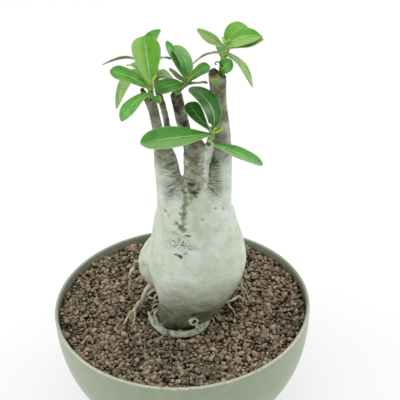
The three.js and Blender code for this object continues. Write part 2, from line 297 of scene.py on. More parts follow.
def close_shape(name: str) -> Piece:
    """Turns the edited mesh's faces outwards and leaves edit mode.

    Args:
        name: The name of the object.

    Returns:
        The object, at the origin.
    """
    bpy.ops.mesh.select_all(action="SELECT")
    bpy.ops.mesh.normals_make_consistent(inside=False)
    return finish_edit(name)


def lathe(name: str, sides: int, profile: Sequence[tuple[float, float]]) -> Piece:
    """Models a round shape: a disc is extruded and resized along a profile.

    Args:
        name: The name of the object.
        sides: How many corners it has round.
        profile: Its radii and heights, one after the other.

    Returns:
        The shape, closed at both ends.
    """
    radius, height = profile[0]
    start_disc(sides, radius, (0.0, 0.0, height))
    for wider, higher in profile[1:]:
        size = wider / radius
        extrude((0.0, 0.0, higher - height), (size, size, 1.0), (0.0, 0.0, higher))
        radius, height = wider, higher
    return close_shape(name)


@dataclass(frozen=True)
class Ring:
    """One ring of a limb: its middle, the way that the limb runs there, and its radius, in metres."""

    centre: Vector
    along: Vector
    radius: float


def between(low: Rows, high: Rows, start: float, end: float, t: float) -> Rows:
    """The mix of two values that is the first at start and the second at end."""
    return low + (high - low) * (t - start) / (end - start)


def spline(rows: Rows, count: int) -> Rows:
    """Steps along a smooth curve through rows of numbers, the first three of which are a place.

    Args:
        rows: The points to pass through.
        count: The number of points wanted.

    Returns:
        The rows on a centripetal Catmull-Rom curve, ends included.
    """
    points = np.vstack([2 * rows[0] - rows[1], rows, 2 * rows[-1] - rows[-2]])
    gaps = lengths(np.diff(points[:, :3], axis=0)) ** 0.5
    knots = np.concatenate([[0.0], np.cumsum(gaps)])
    found = []
    for t in np.linspace(knots[1], knots[-2], count):
        i = int(np.clip(np.searchsorted(knots, t) - 1, 1, len(rows) - 1))
        p, k = points[i - 1:i + 3], knots[i - 1:i + 3]
        a = [between(p[j], p[j + 1], k[j], k[j + 1], t) for j in range(3)]
        b = [between(a[j], a[j + 1], k[j], k[j + 2], t) for j in range(2)]
        found.append(between(b[0], b[1], k[1], k[2], t))
    return np.array(found)


def rings_along(stations: Route, spacing: float) -> list[Ring]:
    """The rings of a limb, about evenly spaced.

    Args:
        stations: Points with the limb's radius there: x, y, z, radius, in millimetres.
        spacing: The wanted distance between rings, in metres.

    Returns:
        The rings, from the first station to the last.
    """
    rows = np.array(stations) * MM
    reach = lengths(np.diff(rows[:, :3], axis=0)).sum()
    steps = spline(rows, max(4, round(reach / spacing) + 1))
    along = np.gradient(steps[:, :3], axis=0)
    return [
        Ring(Vector(step[:3]), Vector(way).normalized(), float(step[3]))
        for step, way in zip(steps, along)
    ]


def end_of(route: Route) -> tuple[Vector, Vector]:
    """The last place of a route, in millimetres, and the way that the route runs there."""
    last, before = Vector(route[-1][:3]), Vector(route[-2][:3])
    return last, (last - before).normalized()


def turn_selection(turn: Matrix, centre: Vector) -> None:
    """Turns what is selected in edit mode about a point.

    Args:
        turn: The wanted rotation.
        centre: The point that stays where it is.
    """
    for axis, angle in zip("XYZ", turn.to_euler("XYZ")):
        if abs(angle) > NO_TURN:
            # Without a window this operator turns the other way round
            bpy.ops.transform.rotate(value=-angle, orient_axis=axis, center_override=centre)


def sweep(name: str, rings: Sequence[Ring], sides: int, dome: bool = True) -> Piece:
    """Models a limb: a disc is extruded from ring to ring, turned and resized at each.

    Args:
        name: The name of the object.
        rings: Where the limb goes and how thick it is.
        sides: How many corners each ring has.
        dome: Whether the far end is rounded off, as a grown tip is, or left flat, as a cut is.

    Returns:
        The limb, closed at both ends.
    """
    first, last = rings[0], rings[-1]
    start_disc(sides, first.radius, first.centre, UP.rotation_difference(first.along).to_euler())
    route = list(rings)
    for share in DOME_STEPS if dome else ():
        narrower = last.radius * math.sqrt(1 - share ** 2)
        route.append(Ring(last.centre + last.along * last.radius * share, last.along, narrower))
    for before, ring in zip(route, route[1:]):
        extrude_to(before, ring)
    return close_shape(name)


def extrude_to(before: Ring, after: Ring) -> None:
    """Extrudes the selected end of a limb to its next ring.

    Args:
        before: The ring that the selected end is at.
        after: The ring that it goes to.
    """
    bpy.ops.mesh.extrude_region_move(TRANSFORM_OT_translate={"value": after.centre - before.centre})
    turn_selection(before.along.rotation_difference(after.along).to_matrix(), after.centre)
    size = after.radius / before.radius
    bpy.ops.transform.resize(value=(size, size, size), center_override=after.centre)


# Node trees


def feed(tree: Tree, socket: Socket, value: Any) -> None:
    """Joins an input to another node's output, or gives it a value of its own.

    Args:
        tree: The tree that the node is in.
        socket: The node's input.
        value: The other node's output, or the value.
    """
    if isinstance(value, Socket):
        tree.links.new(value, socket)
    else:
        socket.default_value = value


class Shader:
    """Builds a node tree: each call adds nodes, joined to what it is given."""

    def __init__(self, tree: Tree) -> None:
        """Starts on an empty or a new tree."""
        self.tree = tree

    def add(self, kind: str, inputs: dict[Any, Any] | None = None, **settings: Any) -> bpy.types.Node:
        """Adds a node.

        Args:
            kind: The node's type without its "ShaderNode" part.
            inputs: Values or other nodes' outputs, by the input's name or number.
            **settings: The node's own properties.

        Returns:
            The new node.
        """
        node = self.tree.nodes.new("ShaderNode" + kind)
        for key, value in settings.items():
            setattr(node, key, value)
        for key, value in (inputs or {}).items():
            feed(self.tree, node.inputs[key], value)
        return node

    def group(self, group: Tree, inputs: dict[Any, Any]) -> bpy.types.NodeOutputs:
        """Adds a node group, sets its inputs by name and returns its outputs."""
        return self.add("Group", inputs, node_tree=group).outputs

    def math(self, operation: str, *values: Any) -> Socket:
        """The result of a sum on up to three values."""
        return self.add("Math", dict(enumerate(values)), operation=operation).outputs[0]

    def times(self, first: Any, second: Any) -> Socket:
        """The product of two values."""
        return self.math("MULTIPLY", first, second)

    def scaled(self, value: Any, factor: Any, offset: Any) -> Socket:
        """A value times a factor, plus an offset."""
        return self.math("MULTIPLY_ADD", value, factor, offset)

    def step(self, value: Any, low: float, high: float, first: float = 0.0, last: float = 1.0) -> Any:
        """A soft step: first where value is at most low, last where it is at least high."""
        names = {"Value": value, "From Min": low, "From Max": high, "To Min": first, "To Max": last}
        return self.add("MapRange", names, interpolation_type="SMOOTHSTEP").outputs[0]

    def mix(self, share: Any, first: Any, second: Any, blend: str = "MIX") -> Socket:
        """A mix of two colours: the first where share is 0, the second where it is 1."""
        node = self.add("Mix", {0: share, 6: first, 7: second}, data_type="RGBA", blend_type=blend)
        return node.outputs[2]

    def cover(self, under: Any, over: Any, mask: Any, amount: Any) -> Socket:
        """A colour covered by another, up to an amount, where a mask is 1."""
        return self.mix(self.times(mask, amount), under, over)

    def object_places(self, scale: Place = (1.0, 1.0, 1.0)) -> Socket:
        """Object coordinates, stretched by a number for each axis."""
        places = self.add("TexCoord").outputs["Object"]
        return self.add("Mapping", {"Vector": places, "Scale": scale}).outputs[0]

    def noise(self, places: Any, scale: float, detail: float = 3.0, roughness: float = 0.5) -> Any:
        """Cloudy noise from 0 to 1."""
        names = {"Vector": places, "Scale": scale, "Detail": detail, "Roughness": roughness}
        return self.add("TexNoise", names).outputs[0]

    def spots(self, places: Any, scale: float, random_places: float = 1.0) -> Socket:
        """Distance to the nearest of many scattered points."""
        names = {"Vector": places, "Scale": scale, "Randomness": random_places}
        return self.add("TexVoronoi", names).outputs["Distance"]

    def painted(self, name: str) -> Socket:
        """A number stored on the piece's corners."""
        return self.add("Attribute", attribute_name=name).outputs["Fac"]

    def ramp(self, value: Any, stops: Sequence[tuple[float, Colour]]) -> Socket:
        """A colour that changes with a value.

        Args:
            value: The value, from 0 to 1.
            stops: The colours and the values that they stand at, in rising order.

        Returns:
            The colour.
        """
        node = self.add("ValToRGB", {"Fac": value})
        elements = node.color_ramp.elements
        while len(elements) < len(stops):
            elements.new(0.5)
        for element, (place, colour) in zip(elements, stops):
            element.position = place
            element.color = colour
        return node.outputs[0]

    def bump(self, height: Any, distance: float, strength: float = 1.0) -> Socket:
        """A shading normal for a relief of the given depth in metres."""
        names = {"Height": height, "Distance": distance, "Strength": strength}
        return self.add("Bump", names).outputs[0]


def new_material(name: str, preview: Colour) -> tuple[Material, Shader, bpy.types.Node]:
    """Starts a material.

    Args:
        name: Its name.
        preview: Its plain colour in the viewport.

    Returns:
        The material, its node builder and its surface shader.
    """
    material = bpy.data.materials.new(name)
    material.use_nodes = True
    material.diffuse_color = preview
    shader = Shader(material.node_tree)
    return material, shader, material.node_tree.nodes["Principled BSDF"]


def wire(shader: Shader, surface: bpy.types.Node, **inputs: Any) -> None:
    """Sets a surface shader's inputs, whose names are given with _ for each space."""
    for key, value in inputs.items():
        feed(shader.tree, surface.inputs[key.replace("_", " ")], value)


def new_group(name: str, inputs: dict[str, str], outputs: dict[str, str]) -> tuple[Any, Shader, Any, Any]:
    """Starts a node group.

    Args:
        name: Its name.
        inputs: Socket types by input name.
        outputs: Socket types by output name.

    Returns:
        The group, its node builder, its inputs' sockets and its output node.
    """
    group = bpy.data.node_groups.new(name, "ShaderNodeTree")
    for label, kind in inputs.items():
        group.interface.new_socket(label, in_out="INPUT", socket_type="NodeSocket" + kind)
    for label, kind in outputs.items():
        group.interface.new_socket(label, in_out="OUTPUT", socket_type="NodeSocket" + kind)
    inside = group.nodes.new("NodeGroupInput").outputs
    outside = group.nodes.new("NodeGroupOutput")
    return group, Shader(group), inside, outside


class Effects:
    """Effects that several materials share, each a node group built once."""

    def __init__(self) -> None:
        """Builds the groups."""
        self.grime = self._grime()
        self.veins = self._veins()

    def dirty(
        self, shader: Shader, places: Any, colour: Any, dirt: Colour, scale: float, amount: float
    ) -> bpy.types.NodeOutputs:
        """Lays clouds of dirt over a colour, scale of them in a metre: the grime group's outputs."""
        inputs = {"Places": places, "Colour": colour, "Dirt": dirt, "Scale": scale, "Amount": amount}
        return shader.group(self.grime, inputs)

    def _grime(self) -> Tree:
        """Builds the group that lays cloudy dirt over a colour: Colour and Mask out.

        Returns:
            The group.
        """
        inputs = {"Places": "Vector", "Colour": "Color", "Dirt": "Color", "Scale": "Float", "Amount": "Float"}
        group, shader, given, out = new_group("grime", inputs, {"Colour": "Color", "Mask": "Float"})
        cloud = shader.add("TexNoise", {"Vector": given["Places"], "Scale": given["Scale"], "Detail": 5.0})
        mask = shader.times(shader.step(cloud.outputs[0], 0.42, 0.72), given["Amount"])
        group.links.new(shader.mix(mask, given["Colour"], given["Dirt"]), out.inputs["Colour"])
        group.links.new(mask, out.inputs["Mask"])
        return group

    def _veins(self) -> Tree:
        """Builds the group for a leaf's pattern on its own map: masks of midrib, side veins and rim.

        Returns:
            The group.
        """
        masks = {"Midrib": "Float", "Veins": "Float", "Rim": "Float"}
        group, shader, given, out = new_group("leaf_veins", {"Map": "Vector"}, masks)
        axes = shader.add("SeparateXYZ", {0: given["Map"]}).outputs
        aside = shader.math("ABSOLUTE", shader.scaled(axes[0], 2.0, -1.0))
        narrowing = shader.scaled(axes[1], -0.05, 0.075)
        midrib = shader.step(shader.math("DIVIDE", aside, narrowing), 0.25, 1.0, 1.0, 0.0)
        midrib = shader.times(midrib, shader.step(axes[1], 0.55, 1.0, 1.0, 0.25))
        slant = shader.scaled(aside, -0.16, axes[1])
        wobble = shader.times(shader.noise(given["Map"], 9.0), 0.03)
        wave = shader.math("SINE", shader.times(shader.math("ADD", slant, wobble), 88.0))
        veins = shader.times(shader.step(wave, 0.55, 1.0), shader.step(aside, 0.9, 0.3))
        group.links.new(midrib, out.inputs["Midrib"])
        group.links.new(veins, out.inputs["Veins"])
        group.links.new(shader.step(aside, 0.86, 0.99), out.inputs["Rim"])
        return group


# Finishes


@dataclass(frozen=True)
class PlasticFinish:
    """The bowl: smooth pale grey-green plastic, dusty, painted highlight on the lip, staining and painted
    shade inside.
    """

    body: Colour = shade(135, 147, 122)
    stain_and_shade: Colour = shade(92, 88, 72)
    dust_and_highlight: Colour = shade(214, 210, 196)
    roughness: float = 0.34
    lip_line: float = 0.0725

    def material(self, effects: Effects) -> Material:
        """Builds the material.

        Args:
            effects: The shared node groups.

        Returns:
            The material.
        """
        material, shader, surface = new_material("bowl_plastic", self.body)
        places = shader.object_places()
        _, depth, height = shader.add("SeparateXYZ", {0: places}).outputs
        near = shader.step(depth, 0.0, -0.045)
        clouds = effects.dirty(shader, places, self.body, self.dust_and_highlight, 160.0, 0.07)
        # Painted shade with some staining on the inside wall, deeper at the front than at the back
        stain_and_shade_inside = shader.times(shader.painted("inside"), shader.step(depth, 0.03, 0.075, 0.86, 0.5))
        colour = shader.mix(stain_and_shade_inside, clouds["Colour"], self.stain_and_shade)
        specks = shader.step(shader.spots(places, 420.0), 0.3, 0.12)
        lip = shader.times(shader.step(height, self.lip_line, self.lip_line + 0.0008), specks)
        lip = shader.times(lip, near)
        colour = shader.mix(shader.times(lip, shader.noise(places, 120.0)), colour, self.dust_and_highlight)
        # A broken pale line on the lip, strongest at the front: painted highlight
        worn = shader.step(height, self.lip_line + 0.0004, self.lip_line + 0.0012)
        worn = shader.times(worn, shader.step(shader.noise(places, 340.0, 4.0, 0.7), 0.3, 0.5))
        worn = shader.times(worn, shader.scaled(near, 0.36, 0.08))
        colour = shader.mix(worn, colour, self.dust_and_highlight)
        rough = shader.scaled(clouds["Mask"], 0.5, self.roughness)
        rough = shader.scaled(stain_and_shade_inside, 0.3, rough)
        relief = shader.noise(shader.object_places((1.0, 1.0, 0.35)), 260.0, 2.0)
        wire(shader, surface, Base_Color=colour, Roughness=rough, Normal=shader.bump(relief, 0.00012, 0.35))
        return material


@dataclass(frozen=True)
class GritFinish:
    """Lava grit: rough, porous grains, each of its own brown, plum, grey or ochre, with painted light and
    shade.
    """

    tones: tuple[tuple[float, Colour], ...] = (
        (0.0, shade(32, 27, 20)),
        (0.2, shade(112, 96, 76)),
        (0.4, shade(158, 139, 112)),
        (0.58, shade(102, 94, 76)),
        (0.74, shade(140, 110, 88)),
        (0.88, shade(192, 172, 140)),
        (1.0, shade(74, 58, 46)),
    )
    worn: Colour = shade(202, 188, 162)
    damp: Colour = shade(78, 77, 62)
    pore_and_shade: Colour = shade(34, 28, 21)

    def material(self, effects: Effects) -> Material:
        """Builds the material, which reads each grain's tone and height from its corners.

        Args:
            effects: The shared node groups.

        Returns:
            The material.
        """
        material, shader, surface = new_material("lava_grit", self.tones[2][1])
        places = shader.object_places()
        tone = shader.ramp(shader.painted("tone"), self.tones)
        drift = shader.step(shader.noise(places, 26.0, 2.0), 0.4, 0.62)
        tone = shader.cover(tone, self.damp, drift, 0.42)
        clouds = effects.dirty(shader, places, tone, self.pore_and_shade, 900.0, 0.5)
        pores = shader.step(shader.spots(places, 1900.0), 0.34, 0.16)
        colour = shader.cover(clouds["Colour"], self.pore_and_shade, pores, 0.7)
        # Painted shade on the lower part of each grain
        low = shader.step(shader.painted("rise"), 0.2, -0.1)
        colour = shader.cover(colour, self.pore_and_shade, low, 0.94)
        # Painted highlight on the top of each grain
        high = shader.step(shader.painted("rise"), 0.18, 0.42)
        colour = shader.cover(colour, self.worn, high, 0.5)
        relief = shader.math("SUBTRACT", shader.noise(places, 1500.0, 4.0, 0.65), pores)
        normal = shader.bump(relief, 0.00035, 0.8)
        wire(shader, surface, Base_Color=colour, Roughness=0.93, Specular_IOR_Level=0.25, Normal=normal)
        return material


@dataclass(frozen=True)
class BarkFinish:
    """Silvery grey-green bark, wrinkled across, browner low down and up the stems, with dark scars and
    painted shade.
    """

    silver: Colour = shade(195, 203, 194)
    green: Colour = shade(181, 191, 168)
    olive: Colour = shade(118, 128, 88)
    brown: Colour = shade(104, 87, 56)
    dark_mark: Colour = shade(40, 36, 26)
    crease_shade: Colour = shade(66, 68, 52)
    fresh: Colour = shade(148, 178, 92)

    def material(self, effects: Effects) -> Material:
        """Builds the material from the corners' brown, dark marks, painted shade, wrinkles, specks and green.

        Args:
            effects: The shared node groups.

        Returns:
            The material.
        """
        material, shader, surface = new_material("bark", self.silver)
        places = shader.object_places()
        across = shader.object_places((0.22, 0.22, 1.0))
        tint = shader.step(shader.noise(places, 46.0, 3.0), 0.38, 0.66)
        skin = shader.mix(tint, self.silver, self.green)
        streaks = shader.step(shader.noise(across, 620.0, 4.0, 0.6), 0.48, 0.72)
        skin = shader.cover(skin, self.olive, streaks, 0.2)
        mottles = shader.step(shader.noise(places, 480.0, 5.0, 0.7), 0.38, 0.6)
        patches = shader.noise(shader.object_places((0.7, 0.7, 1.0)), 240.0, 5.0, 0.7)
        patches = shader.step(patches, 0.36, 0.62)
        old = shader.mix(mottles, self.olive, self.brown)
        brownness = shader.painted("brown")
        share = shader.times(brownness, shader.scaled(patches, 0.6, 0.5))
        skin = shader.mix(shader.math("MINIMUM", share, 1.0), skin, old)
        clouds = effects.dirty(shader, places, skin, self.olive, 170.0, 0.28)
        flecks = shader.step(shader.spots(across, 260.0), 0.16, 0.05)
        flecks = shader.times(flecks, shader.scaled(brownness, 0.5, 0.12))
        skin = clouds["Colour"]
        dark = shader.math("MAXIMUM", shader.painted("dark_mark"), flecks)
        folds = shader.noise(shader.object_places((0.2, 0.2, 1.0)), 620.0, 3.0, 0.6)
        folds = shader.math("ABSOLUTE", shader.math("SUBTRACT", folds, 0.5))
        folded = shader.painted("wrinkle")
        lines = shader.times(shader.step(folds, 0.055, 0.015), folded)
        # Painted shade: olive over the wrinkled skin, deepest on the stems' inner sides
        skin = shader.cover(skin, self.olive, folded, 0.42)
        # Dark lines in the wrinkles' creases, painted shade
        skin = shader.cover(skin, self.crease_shade, lines, 0.72)
        specks = shader.step(shader.spots(shader.object_places((0.7, 1.0, 1.0)), 1000.0), 0.42, 0.26)
        specks = shader.times(specks, shader.painted("speckle"))
        dark = shader.math("MAXIMUM", dark, specks)
        skin = shader.mix(shader.painted("fresh"), skin, self.fresh)
        # The dark marks hold scars, flecks and specks, and painted shade at the foot, the grit and on the
        # middle stem
        skin = shader.mix(dark, skin, self.dark_mark)
        fibres = shader.noise(across, 800.0, 5.0, 0.6)
        relief = shader.scaled(fibres, 0.6, shader.noise(places, 420.0, 3.0))
        relief = shader.scaled(dark, -0.8, relief)
        relief = shader.scaled(lines, -0.9, relief)
        rough = shader.scaled(brownness, 0.2, 0.56)
        normal = shader.bump(relief, 0.0004, 0.75)
        wire(shader, surface, Base_Color=skin, Roughness=rough, Normal=normal)
        return material


@dataclass(frozen=True)
class RootFinish:
    """Thin roots: tan skin with darker stretches and pale, corky ones."""

    tan: Colour = shade(172, 162, 134)
    brown: Colour = shade(112, 98, 74)
    cork: Colour = shade(206, 200, 176)

    def material(self, effects: Effects) -> Material:
        """Builds the material.

        Args:
            effects: The shared node groups.

        Returns:
            The material.
        """
        material, shader, surface = new_material("root_skin", self.tan)
        places = shader.object_places()
        skin = shader.mix(shader.step(shader.noise(places, 160.0, 3.0), 0.4, 0.62), self.tan, self.cork)
        clouds = effects.dirty(shader, places, skin, self.brown, 420.0, 0.8)
        relief = shader.noise(places, 1300.0, 4.0, 0.6)
        normal = shader.bump(relief, 0.0004, 0.8)
        wire(shader, surface, Base_Color=clouds["Colour"], Roughness=0.75, Normal=normal)
        return material


class LeafAge(Enum):
    """How old a leaf is, which sets its green; the grey finish is painted shade instead."""

    FRESH = "fresh"
    GREEN = "green"
    DARK = "dark"
    PALE = "pale"
    # Grey-green of leaves seen edge-on: painted shade
    GREY = "grey"
    BUD = "bud"


@dataclass(frozen=True)
class LeafFinish:
    """One finish of leaf: a leathery upper face with pale midrib, faint veins and thin pale rim."""

    age: LeafAge
    blade: Colour
    deep: Colour
    under: Colour
    midrib: Colour = shade(204, 228, 166)
    rim: Colour = shade(176, 186, 142)
    roughness: float = 0.36

    def _face(self, effects: Effects, part: str, blade: Colour, deep: Colour, veins: float) -> Material:
        """Builds the material of one face of the blade.

        Args:
            effects: The shared node groups.
            part: The word that its name ends with.
            blade: The main green.
            deep: The green of its darker clouds.
            veins: How clearly the side veins show.

        Returns:
            The material.
        """
        material, shader, surface = new_material(f"leaf_{self.age.value}_{part}", blade)
        place = shader.add("UVMap", uv_map="leaf").outputs[0]
        masks = shader.group(effects.veins, {"Map": place})
        clouds = shader.step(shader.noise(shader.object_places(), 210.0, 4.0), 0.35, 0.68)
        colour = shader.mix(clouds, blade, deep)
        # One half of the blade paler, a painted sheen, and the other darker, painted shade, as its sheen says
        across = shader.add("SeparateXYZ", {0: place}).outputs[0]
        side = shader.times(shader.scaled(across, 2.0, -1.0), shader.painted("sheen"))
        colour = shader.mix(shader.times(shader.step(side, 0.0, 0.35), 0.6), colour, self.under)
        colour = shader.mix(shader.times(shader.step(side, 0.0, -0.35), 0.5), colour, deep)
        colour = shader.cover(colour, self.midrib, masks["Veins"], veins)
        colour = shader.cover(colour, self.rim, masks["Rim"], 0.5)
        colour = shader.cover(colour, self.midrib, masks["Midrib"], 0.7)
        relief = shader.scaled(masks["Veins"], 0.5, shader.noise(shader.object_places(), 700.0))
        rough = shader.scaled(clouds, 0.1, self.roughness)
        wire(shader, surface, Base_Color=colour, Roughness=rough, Normal=shader.bump(relief, 0.00018, 0.45))
        wire(shader, surface, Subsurface_Weight=0.22, Subsurface_Scale=0.0009)
        wire(shader, surface, Subsurface_Radius=(0.5, 1.0, 0.2))
        return material

    def materials(self, effects: Effects) -> list[Material]:
        """Builds the materials of the blade's upper face and its underside, in that order."""
        faces = (("upper", self.blade, self.deep, 0.06), ("under", self.under, self.blade, 0.3))
        return [self._face(effects, *face) for face in faces]


LEAF_FINISHES = (
    LeafFinish(LeafAge.FRESH, shade(102, 168, 24), shade(78, 148, 12), shade(150, 188, 104)),
    LeafFinish(LeafAge.GREEN, shade(84, 159, 42), shade(54, 132, 26), shade(136, 174, 112)),
    LeafFinish(LeafAge.DARK, shade(42, 112, 20), shade(24, 84, 10), shade(112, 152, 88)),
    LeafFinish(LeafAge.PALE, shade(124, 164, 74), shade(98, 142, 54), shade(146, 168, 112)),
    LeafFinish(LeafAge.BUD, shade(176, 196, 62), shade(142, 174, 44), shade(168, 186, 92)),
    # Painted shade: the grey-green of leaves seen edge-on in shadow
    LeafFinish(LeafAge.GREY, shade(132, 140, 102), shade(108, 120, 80), shade(146, 144, 118)),
)


@dataclass(frozen=True)
class StalkFinish:
    """The soft green of this year's shoots, with dark scars where leaves fell."""

    green: Colour = shade(88, 140, 48)
    yellow: Colour = shade(138, 166, 72)
    dark_mark: Colour = shade(38, 36, 22)

    def material(self, effects: Effects) -> Material:
        """Builds the material.

        Args:
            effects: The shared node groups.

        Returns:
            The material.
        """
        material, shader, surface = new_material("green_stalk", self.green)
        places = shader.object_places()
        skin = shader.mix(shader.step(shader.noise(places, 420.0, 4.0), 0.4, 0.65), self.green, self.yellow)
        clouds = effects.dirty(shader, places, skin, self.dark_mark, 900.0, 0.25)
        colour = shader.mix(shader.painted("dark_mark"), clouds["Colour"], self.dark_mark)
        relief = shader.noise(places, 1300.0, 3.0)
        wire(shader, surface, Base_Color=colour, Roughness=0.46, Normal=shader.bump(relief, 0.0002, 0.6))
        wire(shader, surface, Subsurface_Weight=0.12, Subsurface_Scale=0.0009)
        return material


@dataclass(frozen=True)
class PasteFinish:
    """Black sealing paste, dried with a satin skin and a few dull crumbs."""

    black: Colour = shade(15, 16, 19)
    dull: Colour = shade(52, 50, 50)
    crust: Colour = shade(150, 98, 40)

    def material(self, effects: Effects) -> Material:
        """Builds the material, which reads from the corners where the paste is a thin crust.

        Args:
            effects: The shared node groups.

        Returns:
            The material.
        """
        material, shader, surface = new_material("sealing_paste", self.black)
        places = shader.object_places()
        clouds = effects.dirty(shader, places, self.black, self.dull, 1100.0, 0.6)
        rough = shader.scaled(clouds["Mask"], 0.5, 0.24)
        crumbs = shader.step(shader.noise(places, 1400.0, 4.0), 0.35, 0.6)
        crust = shader.times(shader.painted("crust"), crumbs)
        colour = shader.mix(crust, clouds["Colour"], self.crust)
        relief = shader.noise(places, 800.0, 4.0, 0.6)
        wire(shader, surface, Base_Color=colour, Roughness=rough, Normal=shader.bump(relief, 0.0004, 0.8))
        return material


# Pieces


def add_piece(piece: Piece, slot: str, materials: Iterable[Material], *nodes: str) -> None:
    """Dresses a finished piece, hangs it under the root empty, hides the nodes that it stands for and logs
    it.

    Args:
        piece: The finished object.
        slot: The name of its material slot, which is only logged.
        materials: The materials of the piece, in the order of its faces' numbers.
        *nodes: The CAD nodes that it stands for.
    """
    for number, material in enumerate(materials):
        if number < len(piece.material_slots):
            piece.material_slots[number].material = material
        else:
            piece.data.materials.append(material)
    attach(piece, ROOT)
    if nodes:
        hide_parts(*nodes)
    LOG.info("%s: %d faces, slot %s, for %s", piece.name, len(piece.data.polygons), slot, nodes or "no node")


@dataclass
class Bowl:
    """The thin round bowl: foot ring, superelliptic side, rounded lip and drain holes."""

    effects: Effects
    power: float = 2.4
    wall: float = 0.0022
    foot_radius: float = 0.042
    foot_height: float = 0.0016
    foot_ring: float = 0.006
    foot_recess: float = 0.0012
    floor: float = 0.0024
    drain_holes: int = 6
    drain_radius: float = 0.0032
    drain_circle: float = 0.020
    sides: int = 144
    steps: int = 22
    gathering: float = 1.6
    lip_steps: int = 8
    finish: PlasticFinish = PlasticFinish()
    height: float = field(init=False)
    rim: float = field(init=False)

    def __post_init__(self) -> None:
        """Takes the bowl's height and rim from its CAD node."""
        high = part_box("bowl")[1]
        self.height = high.z
        self.rim = high.x

    def radius_at(self, height: float, inset: float) -> float:
        """The side's radius at a height.

        Args:
            height: The height.
            inset: How far the wanted surface lies within the outside one.

        Returns:
            The radius.
        """
        size = self.rim - inset
        drop = min(max((self.height - height) / size, 0.0), 1.0)
        return size * (1 - drop ** self.power) ** (1 / self.power)

    def _side(self, inset: float, lowest: float, highest: float) -> list[tuple[float, float]]:
        """Steps up one surface of the side, closer together where it curves.

        Args:
            inset: How far it lies within the outside surface.
            lowest: The height where it starts.
            highest: The height where it ends.

        Returns:
            Radii and heights.
        """
        span = highest - lowest
        heights = [lowest + span * (i / self.steps) ** self.gathering for i in range(self.steps + 1)]
        return [(self.radius_at(height, inset), height) for height in heights]

    def _lip(self) -> list[tuple[float, float]]:
        """Steps over the rounded lip, from outside to inside.

        Returns:
            Radii and heights.
        """
        half = self.wall / 2
        middle, level = self.rim - half, self.height - half
        turns = [math.pi * i / self.lip_steps for i in range(1, self.lip_steps)]
        return [(middle + half * math.cos(turn), level + half * math.sin(turn)) for turn in turns]

    def profile(self) -> list[tuple[float, float]]:
        """The bowl's outline, from the recess under the foot, over the lip, to the floor inside.

        Returns:
            Radii and heights.
        """
        top = self.height - self.wall / 2
        inner_floor = self.foot_recess + self.floor
        outside = self._side(0.0, self.foot_height, top)
        inside = self._side(self.wall, inner_floor, top)[::-1]
        foot = [
            (self.foot_radius - self.foot_ring, self.foot_recess),
            (self.foot_radius - self.foot_ring, 0.0),
            (self.foot_radius, 0.0),
        ]
        return [*foot, *outside, *self._lip(), *inside]

    def build(self) -> None:
        """Models the bowl: turned along its profile, drilled, and marked where its inside is."""
        bowl = lathe("bowl_shell", self.sides, self.profile())
        self._drill(bowl)
        out = lengths(places_of(bowl)[:, :2])
        heights = places_of(bowl)[:, 2]
        middle = np.array([self.radius_at(height, self.wall / 2) for height in heights])
        paint(bowl, "inside", clamp((middle - out) / self.wall + 0.2))
        smooth(bowl, 40.0)
        add_piece(bowl, "bowl_plastic", [self.finish.material(self.effects)], "bowl")

    def _drill(self, bowl: Piece) -> None:
        """Cuts the drain holes through the floor.

        Args:
            bowl: The undrilled bowl.
        """
        for number in range(self.drain_holes):
            turn = 2 * math.pi * number / self.drain_holes
            place = (self.drain_circle * math.cos(turn), self.drain_circle * math.sin(turn), self.floor)
            deselect_all()
            bpy.ops.mesh.primitive_cylinder_add(
                vertices=24, radius=self.drain_radius, depth=4 * self.floor, location=place
            )
            drill = bpy.context.active_object
            modify(bowl, "BOOLEAN", object=drill, operation="DIFFERENCE", solver="EXACT")
            bpy.data.objects.remove(drill)


@dataclass(frozen=True)
class Scar:
    """A mark sunk into the bark.

    Its place, half width, half height and depth are in millimetres, dark and brown are marks, and
    slant is how far it leans down to the right, in degrees.
    """

    place: Place
    width: float
    height: float
    depth: float
    dark: float
    slant: float = 0.0
    brown: float = 0.0

    def share(self, places: Rows, grain: Rows) -> Rows:
        """How far each corner belongs to the scar.

        Args:
            places: The corners' places.
            grain: Noise at the corners, which makes the scar's rim ragged.

        Returns:
            One share for each corner.
        """
        away = places / MM - np.array(self.place)
        lean = math.radians(self.slant)
        aside = away[:, 0] * math.cos(lean) - away[:, 2] * math.sin(lean)
        above = away[:, 2] * math.cos(lean) + away[:, 0] * math.sin(lean)
        gap = (aside / self.width) ** 2 + (above / self.height) ** 2 + (away[:, 1] / (self.width + 3)) ** 2
        return clamp(1.4 - gap * np.clip(1 + 1.3 * grain, 0.3, 2.5))


@dataclass(frozen=True)
class Patch:
    """An oval patch of other bark: its middle and reach in millimetres, its mark, and how that fades."""

    middle: Place
    reach: Place
    strength: float
    fade: float

    def marks(self, places: Rows) -> Rows:
        """The mark at each place, which falls below 0 away from the patch."""
        away = (places - np.array(self.middle) * MM) / (np.array(self.reach) * MM)
        return self.strength - self.fade * lengths(away)


@dataclass(frozen=True)
class Limb:
    """A stem or root of the trunk: its route, its bark, and whether its end is rounded off.

    brown and dark are marks. On a stem they grow with height from just below start, in millimetres,
    and on a root they cover it all.
    """

    stations: Route
    brown: float
    start: float = 0.0
    dark: float = 0.0
    dome: bool = False


